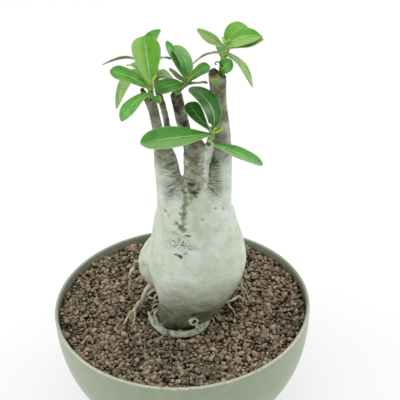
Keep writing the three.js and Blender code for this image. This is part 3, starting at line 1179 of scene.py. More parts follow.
@dataclass
class Trunk:
    """The swollen base with its cut stems and thicker roots, grown together as one body.

    voxel, spacing and the sizes of the skin's patterns are in metres. Heights, spans and reaches are
    in millimetres, as the stations are. A fold is the groove between two stems: its place along X, its
    reach and its mark, which deepens the wrinkles there and paints shade on them.
    """

    effects: Effects
    caudex: Sequence[tuple[float, float, float, float, float]]
    lobe: Route
    stems: Sequence[Limb]
    roots: Sequence[Limb]
    scars: Sequence[Scar]
    sides: int = 48
    lobe_sides: int = 24
    stem_sides: int = 20
    root_sides: int = 14
    sections: int = 28
    voxel: float = 0.00065
    spacing: float = 0.004
    lump: Place = (0.016, 0.016, 0.02)
    wrinkle: Place = (0.007, 0.007, 0.0012)
    grain: Place = (0.0024, 0.0024, 0.0018)
    patch: Place = (0.006, 0.006, 0.009)
    fork_height: float = 142
    fork_reach: float = 34
    fork_passes: int = 40
    stem_start: float = 158
    stem_span: float = 14
    folds: tuple[Place, ...] = ((-2.5, 4.5, 1.7), (21.2, 3.4, 1.5))
    fold_height: float = 176
    fold_reach: float = 11
    lobe_side: float = -8
    lobe_bottom: float = 80
    foot_top: float = 113
    foot_span: float = 34
    soil_line: float = 73.5
    soil_span: float = 4
    bark_below: float = 4
    bark_span: float = 20
    speckled: Patch = Patch((-1.8, -26.2, 136.4), (11, 6, 5.2), 1.7, 1.7)
    green: tuple[Patch, ...] = (
        Patch((22.6, -11, 230), (3.6, 3.5, 2.6), 1.9, 1.6),
        Patch((19.2, -18.8, 199), (3.6, 3.6, 7), 1.3, 1.2),
    )
    finish: BarkFinish = BarkFinish()

    def build(self) -> Piece:
        """Models the limbs, fuses them under one skin and weathers it.

        Returns:
            The trunk.
        """
        limbs = [self._swelling(), sweep("lobe", rings_along(self.lobe, self.spacing), self.lobe_sides)]
        for number, stem in enumerate(self.stems):
            rings = rings_along(stem.stations, self.spacing)
            limbs.append(sweep(f"stem_{number}", rings, self.stem_sides, dome=stem.dome))
        for number, root in enumerate(self.roots):
            rings = rings_along(root.stations, self.spacing / 2)
            limbs.append(sweep(f"root_{number}", rings, self.root_sides))
        body = join("trunk_bark", limbs)
        fuse(body, self.voxel, 2)
        self._ease_fork(body)
        self._weather(body)
        add_piece(body, "bark", [self.finish.material(self.effects)], "trunk")
        return body

    def _swelling(self) -> Piece:
        """Models the swollen base: a disc extruded up its sections, wider one way than the other.

        Returns:
            The base, closed at both ends.
        """
        rows = np.array([(x, y, z, wide, deep) for z, x, wide, y, deep in self.caudex]) * MM
        sections = spline(rows, self.sections)
        x, y, z, wide, deep = sections[0]
        start_disc(self.sides, 1.0, (x, y, z))
        bpy.ops.transform.resize(value=(wide, deep, 1.0), center_override=(x, y, z))
        for before, after in zip(sections, sections[1:]):
            size = (after[3] / before[3], after[4] / before[4], 1.0)
            extrude(Vector(after[:3] - before[:3]), size, Vector(after[:3]))
        return close_shape("swelling")

    def _ease_fork(self, body: Piece) -> None:
        """Smooths the fork, where the stems swell into each other.

        Args:
            body: The fused trunk.
        """
        fork = body.vertex_groups.new(name="fork")
        heights = places_of(body)[:, 2] / MM
        shares = clamp(1 - np.abs(heights - self.fork_height) / self.fork_reach)
        for number in np.flatnonzero(shares > 0.02):
            fork.add([int(number)], float(shares[number]), "REPLACE")
        modify(body, "SMOOTH", factor=0.5, iterations=self.fork_passes, vertex_group=fork.name)

    def _weather(self, body: Piece) -> None:
        """Gives the skin its lumps, wrinkles and scars, and marks them and some painted shade for the
        material.

        Args:
            body: The fused trunk.
        """
        places = places_of(body)
        lumps = noise_at(places, self.lump, 3.1)
        wrinkles = noise_at(places, self.wrinkle, 7.7)
        grain = noise_at(places, self.grain, 5.3)
        patches = noise_at(places, self.patch, 9.1)
        across, _, height = places.T / MM
        stem = clamp((height - self.stem_start) / self.stem_span)
        inner = [mark - np.abs(across - middle) / reach for middle, reach, mark in self.folds]
        inner = clamp(np.max(inner, axis=0))
        inner = inner * clamp(1.8 - np.abs(height - self.fold_height) / self.fold_reach)
        rise = 0.35 * lumps + (0.03 + 0.12 * inner) * wrinkles + 0.16 * stem * grain
        dark_mark, tan = np.zeros(len(places)), np.zeros(len(places))
        for mark in self.scars:
            ragged = mark.share(places, grain)
            rise -= mark.depth * ragged
            dark_mark = np.maximum(dark_mark, mark.dark * ragged)
            tan = np.maximum(tan, mark.brown * ragged)
        set_places(body, places + normals_of(body) * (rise * MM)[:, None])
        brown, dark, root = self._limb_bark(places)
        foot, grit_band = self._stains_and_shade(places, grain, root)
        dark = dark * (1 + 1.2 * patches + 1.5 * grain)
        # Darker towards the foot and in a band at the grit: dirt with painted shade
        dark += 0.5 * foot ** 1.5 * (1 + 0.6 * patches) + 0.45 * grit_band
        # Browner towards the foot: browner bark, partly painted shade
        paint(body, "brown", clamp(np.maximum(tan, 1.2 * foot + brown * (1 + 0.7 * patches))))
        paint(body, "dark_mark", clamp(np.maximum(dark_mark, dark)))
        # The inner sides of the stems are marked for wrinkles and for painted shade
        fold = clamp(inner * (0.9 + 0.8 * patches))
        creased = 0.3 * stem * (1 + patches) * clamp(1.5 * brown)
        paint(body, "wrinkle", clamp(np.maximum(fold, creased)))
        paint(body, "speckle", clamp(self.speckled.marks(places)))
        fresh = np.max([patch.marks(places) for patch in self.green], axis=0)
        paint(body, "fresh", np.clip(fresh + 0.5 * grain, 0, 0.9))

    def _stains_and_shade(self, places: Rows, grain: Rows, root: Rows) -> tuple[Rows, Rows]:
        """Where the base darkens low down: partly dirt and browner bark, partly painted shade.

        Args:
            places: The corners' places.
            grain: Noise at the corners.
            root: How far each corner is part of a root, which isn't darkened there.

        Returns:
            The brown and dark towards the foot, fainter on the lobe, and the dark band at the grit.
        """
        across, _, height = places.T / MM
        lobe = clamp((self.lobe_side - across) / 6) * clamp((height - self.lobe_bottom) / 8)
        foot = clamp((self.foot_top - height) / self.foot_span) * (1 - root) * (1 - 0.85 * lobe)
        grit_band = clamp((self.soil_line + 2 * grain - height) / self.soil_span) * (1 - root)
        return foot, grit_band

    def _limb_bark(self, places: Rows) -> tuple[Rows, Rows, Rows]:
        """The bark of the stem or root that each corner is nearest to.

        Args:
            places: The corners' places.

        Returns:
            How brown and how dark each corner is, and how far it is part of a root.
        """
        nearest = np.full(len(places), np.inf)
        brown, dark, root = [np.zeros(len(places)) for _ in range(3)]
        for limb in (*self.stems, *self.roots):
            rings = rings_along(limb.stations, self.spacing / 2)
            gap = np.min([lengths(places - np.array(ring.centre)) - ring.radius for ring in rings], axis=0)
            share = clamp((places[:, 2] / MM - limb.start + self.bark_below) / self.bark_span)
            mine = gap < nearest
            if limb in self.roots:
                share = clamp(1.8 - gap / (0.6 * MM))
                root = np.maximum(root, share)
                mine = share > 0
            nearest = np.where(mine, gap, nearest)
            brown = np.where(mine, limb.brown * share, brown)
            dark = np.where(mine, limb.dark * share, dark)
        return brown, dark, root


@dataclass
class FineRoots:
    """Thin roots over the grit and a fringe of rootlets under the swelling, whose tips are in the grit."""

    effects: Effects
    routes: Sequence[Route]
    rootlets: int = 22
    spacing: float = 0.0016
    rootlet_spacing: float = 0.0018
    sides: int = 8
    rootlet_sides: int = 6
    kink: Place = (0.003, 0.003, 0.003)
    kink_depth: float = 0.0002
    tip_height: float = 66.5
    seed: int = 7
    finish: RootFinish = RootFinish()

    def build(self) -> None:
        """Models the roots and rootlets as one piece."""
        rng = Random(self.seed)
        limbs = [
            sweep(f"fine_root_{number}", rings_along(self._wander(route, rng), self.spacing), self.sides)
            for number, route in enumerate(self.routes)
        ]
        for number in range(self.rootlets):
            rings = rings_along(self._rootlet(rng), self.rootlet_spacing)
            limbs.append(sweep(f"rootlet_{number}", rings, self.rootlet_sides))
        roots = join("fine_roots", limbs)
        roughen(roots, self.kink, 2.2, self.kink_depth)
        smooth(roots, 80.0)
        add_piece(roots, "bark", [self.finish.material(self.effects)], "trunk")

    @staticmethod
    def _wander(route: Route, rng: Random, bend: float = 0.9) -> list[Station]:
        """Bends a route between each two of its points, as roots grow.

        Args:
            route: The route's stations.
            rng: Random draws.
            bend: How far a bend goes aside, in millimetres.

        Returns:
            The stations with the bends between them.
        """
        moved = [route[0]]
        for before, after in zip(route, route[1:]):
            middle = [(low + high) / 2 for low, high in zip(before, after)]
            aside, ahead, up = [rng.uniform(-bend, bend) for _ in range(3)]
            moved.append((middle[0] + aside, middle[1] + ahead, middle[2] + up / 2, middle[3]))
            moved.append(after)
        return moved

    def _rootlet(self, rng: Random) -> list[Station]:
        """Plans one short rootlet, which leaves the swelling's foot and dips into the grit.

        Args:
            rng: Random draws.

        Returns:
            Its stations.
        """
        turn = rng.choice([rng.uniform(2.4, 3.6), rng.uniform(-0.6, 0.5), rng.uniform(0.6, 2.4)])
        out = Vector((math.cos(turn), math.sin(turn), 0.0))
        aside = Vector((-out.y, out.x, 0.0)) * rng.uniform(-4, 4)
        foot = Vector((1.0 + 15 * out.x, -6 + 13 * out.y, rng.uniform(71, 77)))
        reach = rng.uniform(5, 11)
        middle = foot + out * reach * 0.5 + aside * 0.5 + UP * rng.uniform(-2, 0.5)
        end = foot + out * reach + aside
        end.z = self.tip_height
        thick = rng.uniform(0.25, 0.45)
        return [(*foot, thick * 1.3), (*middle, thick), (*end, thick * 0.7)]


@dataclass
class CutRoot:
    """A short cut root that sticks out of the swelling, with a rotted hole in its end."""

    stations: Route
    spacing: float = 0.0012
    sides: int = 18
    rim: float = 0.0011
    hole: float = 0.0018
    lump: Place = (0.0016, 0.0016, 0.0016)
    lump_depth: float = 0.0013

    def build(self, bark: Material) -> None:
        """Models the stub, hollows its end and marks the hole dark.

        Args:
            bark: The trunk's material.
        """
        rings = rings_along(self.stations, self.spacing)
        piece = sweep("cut_root", rings, self.sides, dome=False)
        last = rings[-1]
        choose(piece)
        bpy.ops.object.mode_set(mode="EDIT")
        bpy.ops.mesh.select_mode(type="VERT")
        select_where(piece, lambda place: (place - last.centre).dot(last.along) > -HAIR)
        bpy.ops.mesh.inset(thickness=self.rim)
        bpy.ops.mesh.extrude_region_move(TRANSFORM_OT_translate={"value": last.along * -self.hole})
        piece = finish_edit("cut_root")
        modify(piece, "SUBSURF", levels=2, render_levels=2)
        places, lumps = roughen(piece, self.lump, 6.6, self.lump_depth)
        middle, along = np.array(last.centre), np.array(last.along)
        depth = (places - middle) @ along
        aside = lengths(places - middle - depth[:, None] * along)
        inside = clamp((last.radius - self.rim - aside) / 0.0004) * (depth > -self.hole * 1.5)
        values = {"brown": 0.15 + 0.5 * lumps, "dark_mark": inside, "wrinkle": 0.2, "speckle": 0.0, "fresh": 0.0}
        for name, value in values.items():
            paint(piece, name, clamp(value * np.ones(len(places))))
        smooth(piece, 60.0)
        add_piece(piece, "bark", [bark], "trunk")


@dataclass(frozen=True)
class Copy:
    """One copy of a grain: which prototype, its place, turn and size in metres, and its tone."""

    kind: int
    place: Vector
    turn: Euler
    size: Vector
    tone: float


@dataclass
class GritBed:
    """Lava grit: a packed ground with loose grains in two layers on top.

    ground and layers say how far these lie below level. The grains lie higher towards the bowl's wall,
    by lift, and lower in the hollows beside the trunk's foot, where their tones are darkened as painted
    shade.
    """

    effects: Effects
    bowl: Bowl
    trunk: BVHTree
    level: float = 0.068
    ground: float = 0.0042
    layers: tuple[float, float] = (0.0030, 0.0008)
    clearance: float = 0.0003
    kinds: int = 14
    grain: float = 0.0029
    pitch: float = 0.00275
    spread: float = 0.42
    jolt: float = 0.0008
    lift: float = 0.0014
    edge_start: float = 0.052
    edge_width: float = 0.016
    hollows: tuple[tuple[float, float], ...] = ((-0.018, 0.013), (-0.019, -0.004), (0.0265, -0.002))
    hollow_reach: float = 0.013
    hollow_depth: float = 0.0018
    grain_faces: int = 46
    flats: int = 4
    flat_depths: tuple[float, float] = (0.28, 0.42)
    smallest: float = 0.5
    largest: float = 1.6
    seed: int = 41
    finish: GritFinish = GritFinish()

    def build(self) -> None:
        """Models the ground and both layers of grains."""
        rng = Random(self.seed)
        material = self.finish.material(self.effects)
        bed = self._bed()
        # The ground takes nearly the darkest tone: painted shade in the gaps between grains
        paint(bed, "tone", np.full(len(bed.data.vertices), 0.05))
        paint(bed, "rise", np.zeros(len(bed.data.vertices)))
        prototypes = [self._grain(number, rng) for number in range(self.kinds)]
        low, high = [self.level - depth for depth in self.layers]
        # The lower layer takes the darkest tones: painted shade in the gaps of the top layer
        under = self._layer("grit_under", prototypes, low, (0.0, 0.12), rng)
        top = self._layer("grit_top", prototypes, high, (0.12, 1.0), rng)
        for prototype in prototypes:
            bpy.data.objects.remove(prototype)
        for piece in (bed, under, top):
            add_piece(piece, "lava_grit", [material], "substrate")

    def _bed(self) -> Piece:
        """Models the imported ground, turned along the bowl's inside, and parts its top into triangles.

        Returns:
            The ground.
        """
        inset = self.bowl.wall + self.clearance
        top = self.level - self.ground
        bottom = self.bowl.foot_recess + self.bowl.floor + self.clearance
        heights = [top + (bottom - top) * (number / 14) ** 0.6 for number in range(15)]
        bed = lathe("grit_bed", 96, [(self.bowl.radius_at(height, inset), height) for height in heights])
        bpy.ops.object.mode_set(mode="EDIT")
        select_where(bed, lambda place: place.z > top - HAIR)
        bpy.ops.mesh.inset(thickness=0.001)
        bpy.ops.mesh.poke()
        return finish_edit("grit_bed")

    def _grain(self, number: int, rng: Random) -> Piece:
        """Models one grain about 1 across: a ball, jolted, cut flat on four sides and thinned out.

        Args:
            number: Its number, which also seeds the jolt.
            rng: Random draws.

        Returns:
            The grain.
        """
        deselect_all()
        bpy.ops.mesh.primitive_ico_sphere_add(subdivisions=2, radius=0.55)
        edit_all()
        bpy.ops.transform.vertex_random(offset=0.13, uniform=0.6, seed=number)
        for _ in range(self.flats):
            facing = Vector([rng.uniform(-1, 1) for _ in range(3)]).normalized()
            bpy.ops.mesh.select_all(action="SELECT")
            middle = facing * rng.uniform(*self.flat_depths)
            bpy.ops.mesh.bisect(plane_co=middle, plane_no=facing, use_fill=True, clear_outer=True)
        bpy.ops.mesh.select_all(action="SELECT")
        bpy.ops.mesh.quads_convert_to_tris()
        grain = finish_edit(f"grain_{number}")
        modify(grain, "DECIMATE", ratio=min(1.0, self.grain_faces / len(grain.data.polygons)))
        return grain

    def _spread(self, rng: Random) -> list[tuple[float, float]]:
        """Spreads the grains of a layer: a jolted triangular grid, pushed apart where crowded.

        Args:
            rng: Random draws.

        Returns:
            The x and y of each grain's middle.
        """
        reach = self.bowl.radius_at(self.level, self.bowl.wall) - 0.4 * self.grain
        rows = math.ceil(reach / (self.pitch * math.sqrt(3) / 2))
        columns = math.ceil(reach / self.pitch) + 1
        points = []
        for row in range(-rows, rows + 1):
            for column in range(-columns, columns + 1):
                x = (column + 0.5 * (row % 2) + rng.uniform(-self.spread, self.spread)) * self.pitch
                y = (row * math.sqrt(3) / 2 + rng.uniform(-self.spread, self.spread)) * self.pitch
                if math.hypot(x, y) < reach:
                    points.append(Vector((x, y, 0.0)))
        for _ in range(3):
            tree = kdtree.KDTree(len(points))
            for number, point in enumerate(points):
                tree.insert(point, number)
            tree.balance()
            points = [self._pushed(point, tree, reach) for point in points]
        return [(point.x, point.y) for point in points]

    def _pushed(self, point: Vector, tree: kdtree.KDTree, reach: float) -> Vector:
        """Moves a point away from neighbours that are closer than the pitch.

        Args:
            point: The point.
            tree: All the points.
            reach: How far from the bowl's axis it may be.

        Returns:
            The moved point.
        """
        moved = point.copy()
        for near, _, gap in tree.find_range(point, self.pitch):
            if gap > 1e-7:
                moved += (point - near) / gap * (self.pitch - gap) * 0.2
        return moved * min(1.0, reach / max(moved.length, 1e-9))

    def _layer(
        self, name: str, prototypes: Sequence[Piece], level: float, tones: tuple[float, float], rng: Random
    ) -> Piece:
        """Lays one layer of grains, clear of the trunk and its thicker roots.

        Args:
            name: The piece's name.
            prototypes: The modelled grains.
            level: The height of the grains' middles.
            tones: The lowest and highest tone of its grains.
            rng: Random draws.

        Returns:
            The layer as one piece.
        """
        copies = []
        for x, y in self._spread(rng):
            size = self.grain * min(self.largest, max(self.smallest, rng.gauss(0.96, 0.26)))
            stretch = [rng.uniform(1.0, 1.6), rng.uniform(0.66, 1.0), rng.uniform(0.6, 0.9)]
            shape = Vector(stretch) * size
            rise = self.lift * min(1.0, max(0.0, (math.hypot(x, y) - self.edge_start) / self.edge_width))
            pit = max(1 - math.dist((x, y), hollow) / self.hollow_reach for hollow in self.hollows)
            rise -= self.hollow_depth * max(0.0, pit)
            place = Vector((x, y, level + rise + rng.uniform(-self.jolt, self.jolt)))
            turn = Euler((rng.uniform(-0.5, 0.5), rng.uniform(-0.5, 0.5), rng.uniform(0, 2 * math.pi)))
            kind = rng.randrange(len(prototypes))
            # The deeper in a hollow, the darker the grain: painted shade over darker dirt
            tone = rng.uniform(*tones) * min(1.0, max(0.06, 1 - 2.2 * pit))
            if self._is_clear(place, 0.34 * size):
                copies.append(Copy(kind, place, turn, shape, tone))
        return gather(name, prototypes, copies)

    def _is_clear(self, place: Vector, room: float) -> bool:
        """Whether a grain has that much room outside the trunk, which is under 40 mm wide at the grit."""
        near, normal, _, distance = self.trunk.find_nearest(place)
        return distance > 0.02 or ((place - near).dot(normal) > 0 and distance > room)


def gather(name: str, prototypes: Sequence[Piece], copies: Sequence[Copy]) -> Piece:
    """Makes one piece of many copies, each with its own corners and faces.

    Args:
        name: The piece's name.
        prototypes: The modelled shapes.
        copies: Where each copy goes.

    Returns:
        The piece, with each copy's tone and each corner's height in its copy painted on the corners.
    """
    shapes = [places_of(item) for item in prototypes]
    faces = [[tuple(face.vertices) for face in item.data.polygons] for item in prototypes]
    corners, tones, rises, joined = [], [], [], []
    count = 0
    for copy in copies:
        turned = shapes[copy.kind] * np.array(copy.size) @ np.array(copy.turn.to_matrix()).T
        corners.append(turned + np.array(copy.place))
        tones.append(np.full(len(turned), copy.tone))
        rises.append(turned[:, 2] / copy.size.x)
        joined.extend(tuple(corner + count for corner in face) for face in faces[copy.kind])
        count += len(turned)
    mesh = bpy.data.meshes.new(name)
    mesh.from_pydata(np.vstack(corners), [], joined)
    piece = bpy.data.objects.new(name, mesh)
    bpy.context.collection.objects.link(piece)
    paint(piece, "tone", np.concatenate(tones))
    paint(piece, "rise", np.concatenate(rises))
    smooth(piece, 22.0)
    return piece


class BladeForm(Enum):
    """A blade's outline: how it opens from its base, how it closes at its tip, and how bluntly."""

    BROAD = (0.75, 3.2, 0.6)
    SPOON = (1.1, 4.6, 0.55)
    LANCE = (0.85, 2.0, 0.75)
    POINTED = (0.8, 1.7, 1.15)


@dataclass(frozen=True)
class Blade:
    """A flat blade, the start of every leaf of its form: 1 long, up to 1 wide, from the origin along +Y."""

    form: BladeForm
    columns: int = 10
    rows: int = 22
    narrowest: float = 0.05

    def widths(self, along: Rows) -> Rows:
        """How wide the blade is.

        Args:
            along: Shares of its length.

        Returns:
            The share of its full width at each.
        """
        opening, closing, bluntness = self.form.value
        steps = np.linspace(0, 1, 200)
        widest = (steps ** opening * (1 - steps ** closing) ** bluntness).max()
        share = along ** opening * clamp(1 - along ** closing) ** bluntness
        return np.maximum(share / widest, self.narrowest)

    def build(self) -> Piece:
        """Models the blade: a grid whose rows are resized to the outline.

        Returns:
            The flat blade.
        """
        deselect_all()
        bpy.ops.mesh.primitive_grid_add(
            x_subdivisions=self.columns, y_subdivisions=self.rows, size=1.0, location=(0.0, 0.5, 0.0)
        )
        bpy.ops.object.mode_set(mode="EDIT")
        grid = bpy.context.active_object
        levels = np.unique(np.round(places_of(grid)[:, 1], 5))
        for level, width in zip(levels, self.widths(levels + 0.5)):
            select_where(grid, lambda place: abs(place.y - level) < 1e-4)
            bpy.ops.transform.resize(value=(float(width), 1.0, 1.0), center_override=(0.0, level + 0.5, 0.0))
        blade = finish_edit(f"blade_{self.form.name.lower()}")
        blade.data.uv_layers[0].name = "leaf"
        return blade


@dataclass(frozen=True)
class Leaf:
    """One leaf: where it leaves its shoot, where its tip is, and how its blade lies.

    Places and widths are in millimetres and angles in degrees. share runs along the shoot from 0 at
    its foot, over 0.5 at its neck, to 1 at its head, and is below 0 in its stem. bow is how far the
    middle of the midrib lies off a straight line. sheen, from -1 to 1, says which half of the blade gets a
    painted sheen, paler, and which painted shade, darker, and by how much.
    """

    share: float
    tip: Place
    bow: Place
    width: float
    roll: float
    age: LeafAge = LeafAge.GREEN
    form: BladeForm = BladeForm.BROAD
    fold: float = 0.24
    wave: float = 0.35
    stalk: float = 0.85
    thin: float = 0.5
    thick: float = 1.5
    point: float = 0.35
    sheen: float = 0.0

    def settle(self, blade: Blade, flat: Rows, base: Vector, phase: float) -> Rows:
        """Lays the corners of a flat blade along this leaf's midrib.

        Args:
            blade: The blade that the corners belong to.
            flat: The corners of the flat blade.
            base: Where the leaf leaves its shoot, in millimetres.
            phase: Shifts the waves along the rim.

        Returns:
            The corners in millimetres, row for row.
        """
        u = clamp(flat[:, 1])[:, None]
        aside = flat[:, 0] / (0.5 * blade.widths(u[:, 0]))
        share = blade.widths(u[:, 0]) * self.width / 2
        half = np.maximum(np.maximum(self.stalk * (1 - 0.6 * u[:, 0]), share), self.point)
        start, end = np.array(base), np.array(self.tip)
        middle = (start + end) / 2 + 2 * np.array(self.bow)
        spine = (1 - u) ** 2 * start + 2 * u * (1 - u) * middle + u ** 2 * end
        along = 2 * (1 - u) * (middle - start) + 2 * u * (end - middle)
        along /= lengths(along)[:, None]
        across = np.cross(along, (0.0, 0.0, 1.0))
        across /= lengths(across)[:, None]
        normal = np.cross(across, along)
        turn = math.radians(self.roll)
        rolled = across * math.cos(turn) - normal * math.sin(turn)
        risen = normal * math.cos(turn) + across * math.sin(turn)
        out = half * aside
        lift = self.fold * (np.sqrt(out ** 2 + 0.6) - 0.6 ** 0.5)
        lift += self.wave * np.sin(9.5 * u[:, 0] + phase + 1.3 * np.sign(aside)) * aside ** 2
        return spine + rolled * out[:, None] + risen * lift[:, None]


@dataclass
class Leaves:
    """Makes leaves from one modelled blade of each form, and dresses them.

    A midrib is rib_width wide, and as thick as it gets on a leaf of full_rib or longer, in millimetres.
    """

    effects: Effects
    rib_width: float = 1.1
    full_rib: float = 16
    blades: dict[BladeForm, Blade] = field(init=False)
    flats: dict[BladeForm, Piece] = field(init=False)
    looks: dict[LeafAge, list[Material]] = field(init=False)

    def __post_init__(self) -> None:
        """Models the blades and builds the materials."""
        self.blades = {form: Blade(form) for form in BladeForm}
        self.flats = {form: blade.build() for form, blade in self.blades.items()}
        self.looks = {finish.age: finish.materials(self.effects) for finish in LEAF_FINISHES}

    def grow(self, name: str, leaf: Leaf, base: Vector, phase: float) -> Piece:
        """Models one leaf.

        Args:
            name: The object's name.
            leaf: The leaf's plan.
            base: Where it leaves its shoot, in millimetres.
            phase: Shifts the waves along its rim.

        Returns:
            The leaf, with a thick midrib, thin rims and both its materials.
        """
        flat = self.flats[leaf.form]
        piece = bpy.data.objects.new(name, flat.data.copy())
        bpy.context.collection.objects.link(piece)
        corners = places_of(flat)
        set_places(piece, leaf.settle(self.blades[leaf.form], corners, base, phase) * MM)
        rib = piece.vertex_groups.new(name="rib")
        length = (Vector(leaf.tip) - base).length
        for number, (x, y, _) in enumerate(corners):
            near = math.exp(-(x * leaf.width / self.rib_width) ** 2)
            rib.add([number], near * (1 - 0.8 * y) * min(1.0, length / self.full_rib), "REPLACE")
        modify(
            piece, "SOLIDIFY", thickness=leaf.thick * MM, offset=0.0, vertex_group=rib.name,
            thickness_vertex_group=leaf.thin / leaf.thick, material_offset=1, use_even_offset=False,
        )
        modify(piece, "SUBSURF", levels=1, render_levels=1)
        smooth(piece, 180.0)
        paint(piece, "sheen", np.full(len(piece.data.vertices), leaf.sheen))
        for material in self.looks[leaf.age]:
            piece.data.materials.append(material)
        return piece

    def put_away(self) -> None:
        """Removes the flat blades once the last leaf is made."""
        for flat in self.flats.values():
            bpy.data.objects.remove(flat)


@dataclass
class Shoot:
    """One of this year's shoots: a short green stalk, its leaves, and a bud at its head."""

    node: str
    stem: Route
    offset: Place
    foot_radius: float
    head: Station
    leaves: Sequence[Leaf]
    bud: float = 5.5
    sunk: float = 0.7
    neck: float = 1.5
    scars: int = 9
    voxel: float = 0.0003
    grain: Place = (0.0016, 0.0016, 0.0012)
    grain_depth: float = 0.00008
    twig: Route = ()

    def stations(self) -> list[Station]:
        """Plans the stalk, whose foot is sunk a little into its stem's cut end.

        Returns:
            Its foot, neck and head.
        """
        last, along = end_of(self.stem)
        offset = Vector(self.offset)
        foot = last + offset - along * offset.dot(along)
        low, neck = foot - along * self.sunk, foot + along * self.neck
        return [(*low, self.foot_radius), (*neck, self.foot_radius), self.head]

    def place_at(self, share: float) -> Vector:
        """Finds a point on the stalk's middle line.

        Args:
            share: How far up it is: 0 at the foot, 0.5 at the neck and 1 at the head.

        Returns:
            The point, in millimetres.
        """
        foot, neck, head = [Vector(station[:3]) for station in self.stations()]
        if share < 0.5:
            return foot.lerp(neck, share * 2)
        return neck.lerp(head, share * 2 - 1)

    def build(self, leaves: Leaves, stalk: Material, rng: Random) -> None:
        """Models the stalk, the leaves and the bud.

        Args:
            leaves: The maker of leaves.
            stalk: The stalk's material.
            rng: Random draws.
        """
        label = self.node.replace("shoot_", "")
        bases = [self.place_at(leaf.share) for leaf in self.leaves]
        self._stalk(label, bases, stalk, rng)
        for number, (leaf, base) in enumerate(zip(self.leaves, bases), start=1):
            piece = leaves.grow(f"leaf_{label}_{number}", leaf, base, rng.uniform(0, 6.3))
            add_piece(piece, "leaf", (), self.node)
        self._bud(label, leaves, rng)

    def _stalk(self, label: str, bases: Sequence[Vector], material: Material, rng: Random) -> None:
        """Models the stalk with a swollen foot for each leaf, and marks its old leaf scars.

        Args:
            label: The shoot's short name.
            bases: Where its leaves leave it, in millimetres.
            material: Its material.
            rng: Random draws.
        """
        limbs = [sweep("stalk", rings_along(self.stations(), 0.0015), 14)]
        for number, (leaf, base) in enumerate(zip(self.leaves, bases)):
            out = (Vector(leaf.tip) - base).normalized()
            route = [(*(base - out * 0.6), 1.3), (*(base + out * 1.0), 1.1), (*(base + out * 2.2), 0.7)]
            limbs.append(sweep(f"leaf_foot_{number}", rings_along(route, 0.0008), 10))
        piece = join(f"stalk_{label}", limbs)
        fuse(piece, self.voxel, 4)
        if self.twig:
            piece = join(piece.name, [piece, sweep("twig", rings_along(self.twig, 0.0005), 8)])
        places, _ = roughen(piece, self.grain, 1.7, self.grain_depth)
        dark_mark = np.zeros(len(places))
        for _ in range(self.scars):
            spot = self.place_at(rng.uniform(0.2, 1.0))
            turn = rng.uniform(0, 2 * math.pi)
            spot += Vector((math.cos(turn), math.sin(turn), 0.0)) * self.foot_radius
            gap = lengths(places / MM - np.array(spot)) / rng.uniform(0.6, 1.1)
            dark_mark = np.maximum(dark_mark, np.exp(-gap ** 4))
        for x, y, z, _ in self.twig:
            dark_mark = np.maximum(dark_mark, lengths(places / MM - np.array((x, y, z))) < 0.9)
        paint(piece, "dark_mark", dark_mark)
        add_piece(piece, "leaf", [material], self.node)

    def _bud(self, label: str, leaves: Leaves, rng: Random) -> None:
        """Models the head's bud: a few leaflets, still folded, that point up and out.

        Args:
            label: The shoot's short name.
            leaves: The maker of leaves.
            rng: Random draws.
        """
        head = Vector(self.head[:3])
        start = rng.uniform(0, 2 * math.pi)
        leaflets = []
        for number in range(4):
            turn = start + 2.4 * number
            size = self.bud * (0.62 + 0.13 * number)
            out = Vector((math.cos(turn), math.sin(turn), 1.6 - 0.2 * number)).normalized()
            leaflet = Leaf(
                1.0, tuple(head + out * size), (0.0, 0.0, 0.12 * size), 0.34 * size, 0.0,
                LeafAge.BUD, BladeForm.LANCE, fold=0.7, wave=0.05, stalk=0.5, thick=0.9,
            )
            base = head - Vector((0.0, 0.0, 0.6))
            leaflets.append(leaves.grow(f"leaflet_{number}", leaflet, base, 0.0))
        add_piece(join(f"bud_{label}", leaflets), "leaf", (), self.node)


@dataclass
class Paste:
    """A knob of sealing paste on the cut end of a stub, with a thin crust round its foot."""

    node: str
    stub: Route
    overlap: float = 0.25
    knob: float = 0.74
    height: float = 2.3
    voxel: float = 0.00025
    lump: Place = (0.0014, 0.0014, 0.0014)
    lump_depth: float = 0.0003

    def build(self, material: Material) -> None:
        """Models the knob and its flange as one limb, fused, smoothed and lumped.

        Args:
            material: The paste's material.
        """
        last, along = end_of(self.stub)
        wide = self.stub[-1][3] + self.overlap
        outline = ((-1.1, 0.97), (-0.2, 1.05), (0.3, 0.95), (0.7, self.knob), (self.height - 0.5, self.knob))
        route = [(*(last + along * rise), wide * share) for rise, share in outline]
        route.append((*(last + along * self.height), wide * self.knob * 0.5))
        piece = join(self.node + "_cap", [sweep("cap", rings_along(route, 0.0004), 24, dome=False)])
        fuse(piece, self.voxel, 4)
        places, lumps = roughen(piece, self.lump, 4.4, self.lump_depth)
        rise = (places / MM - np.array(last)) @ np.array(along)
        paint(piece, "crust", clamp((0.75 + 0.5 * lumps - rise) / 0.5))
        add_piece(piece, "sealant", [material], self.node)


# Places taken over from the part's source, in millimetres

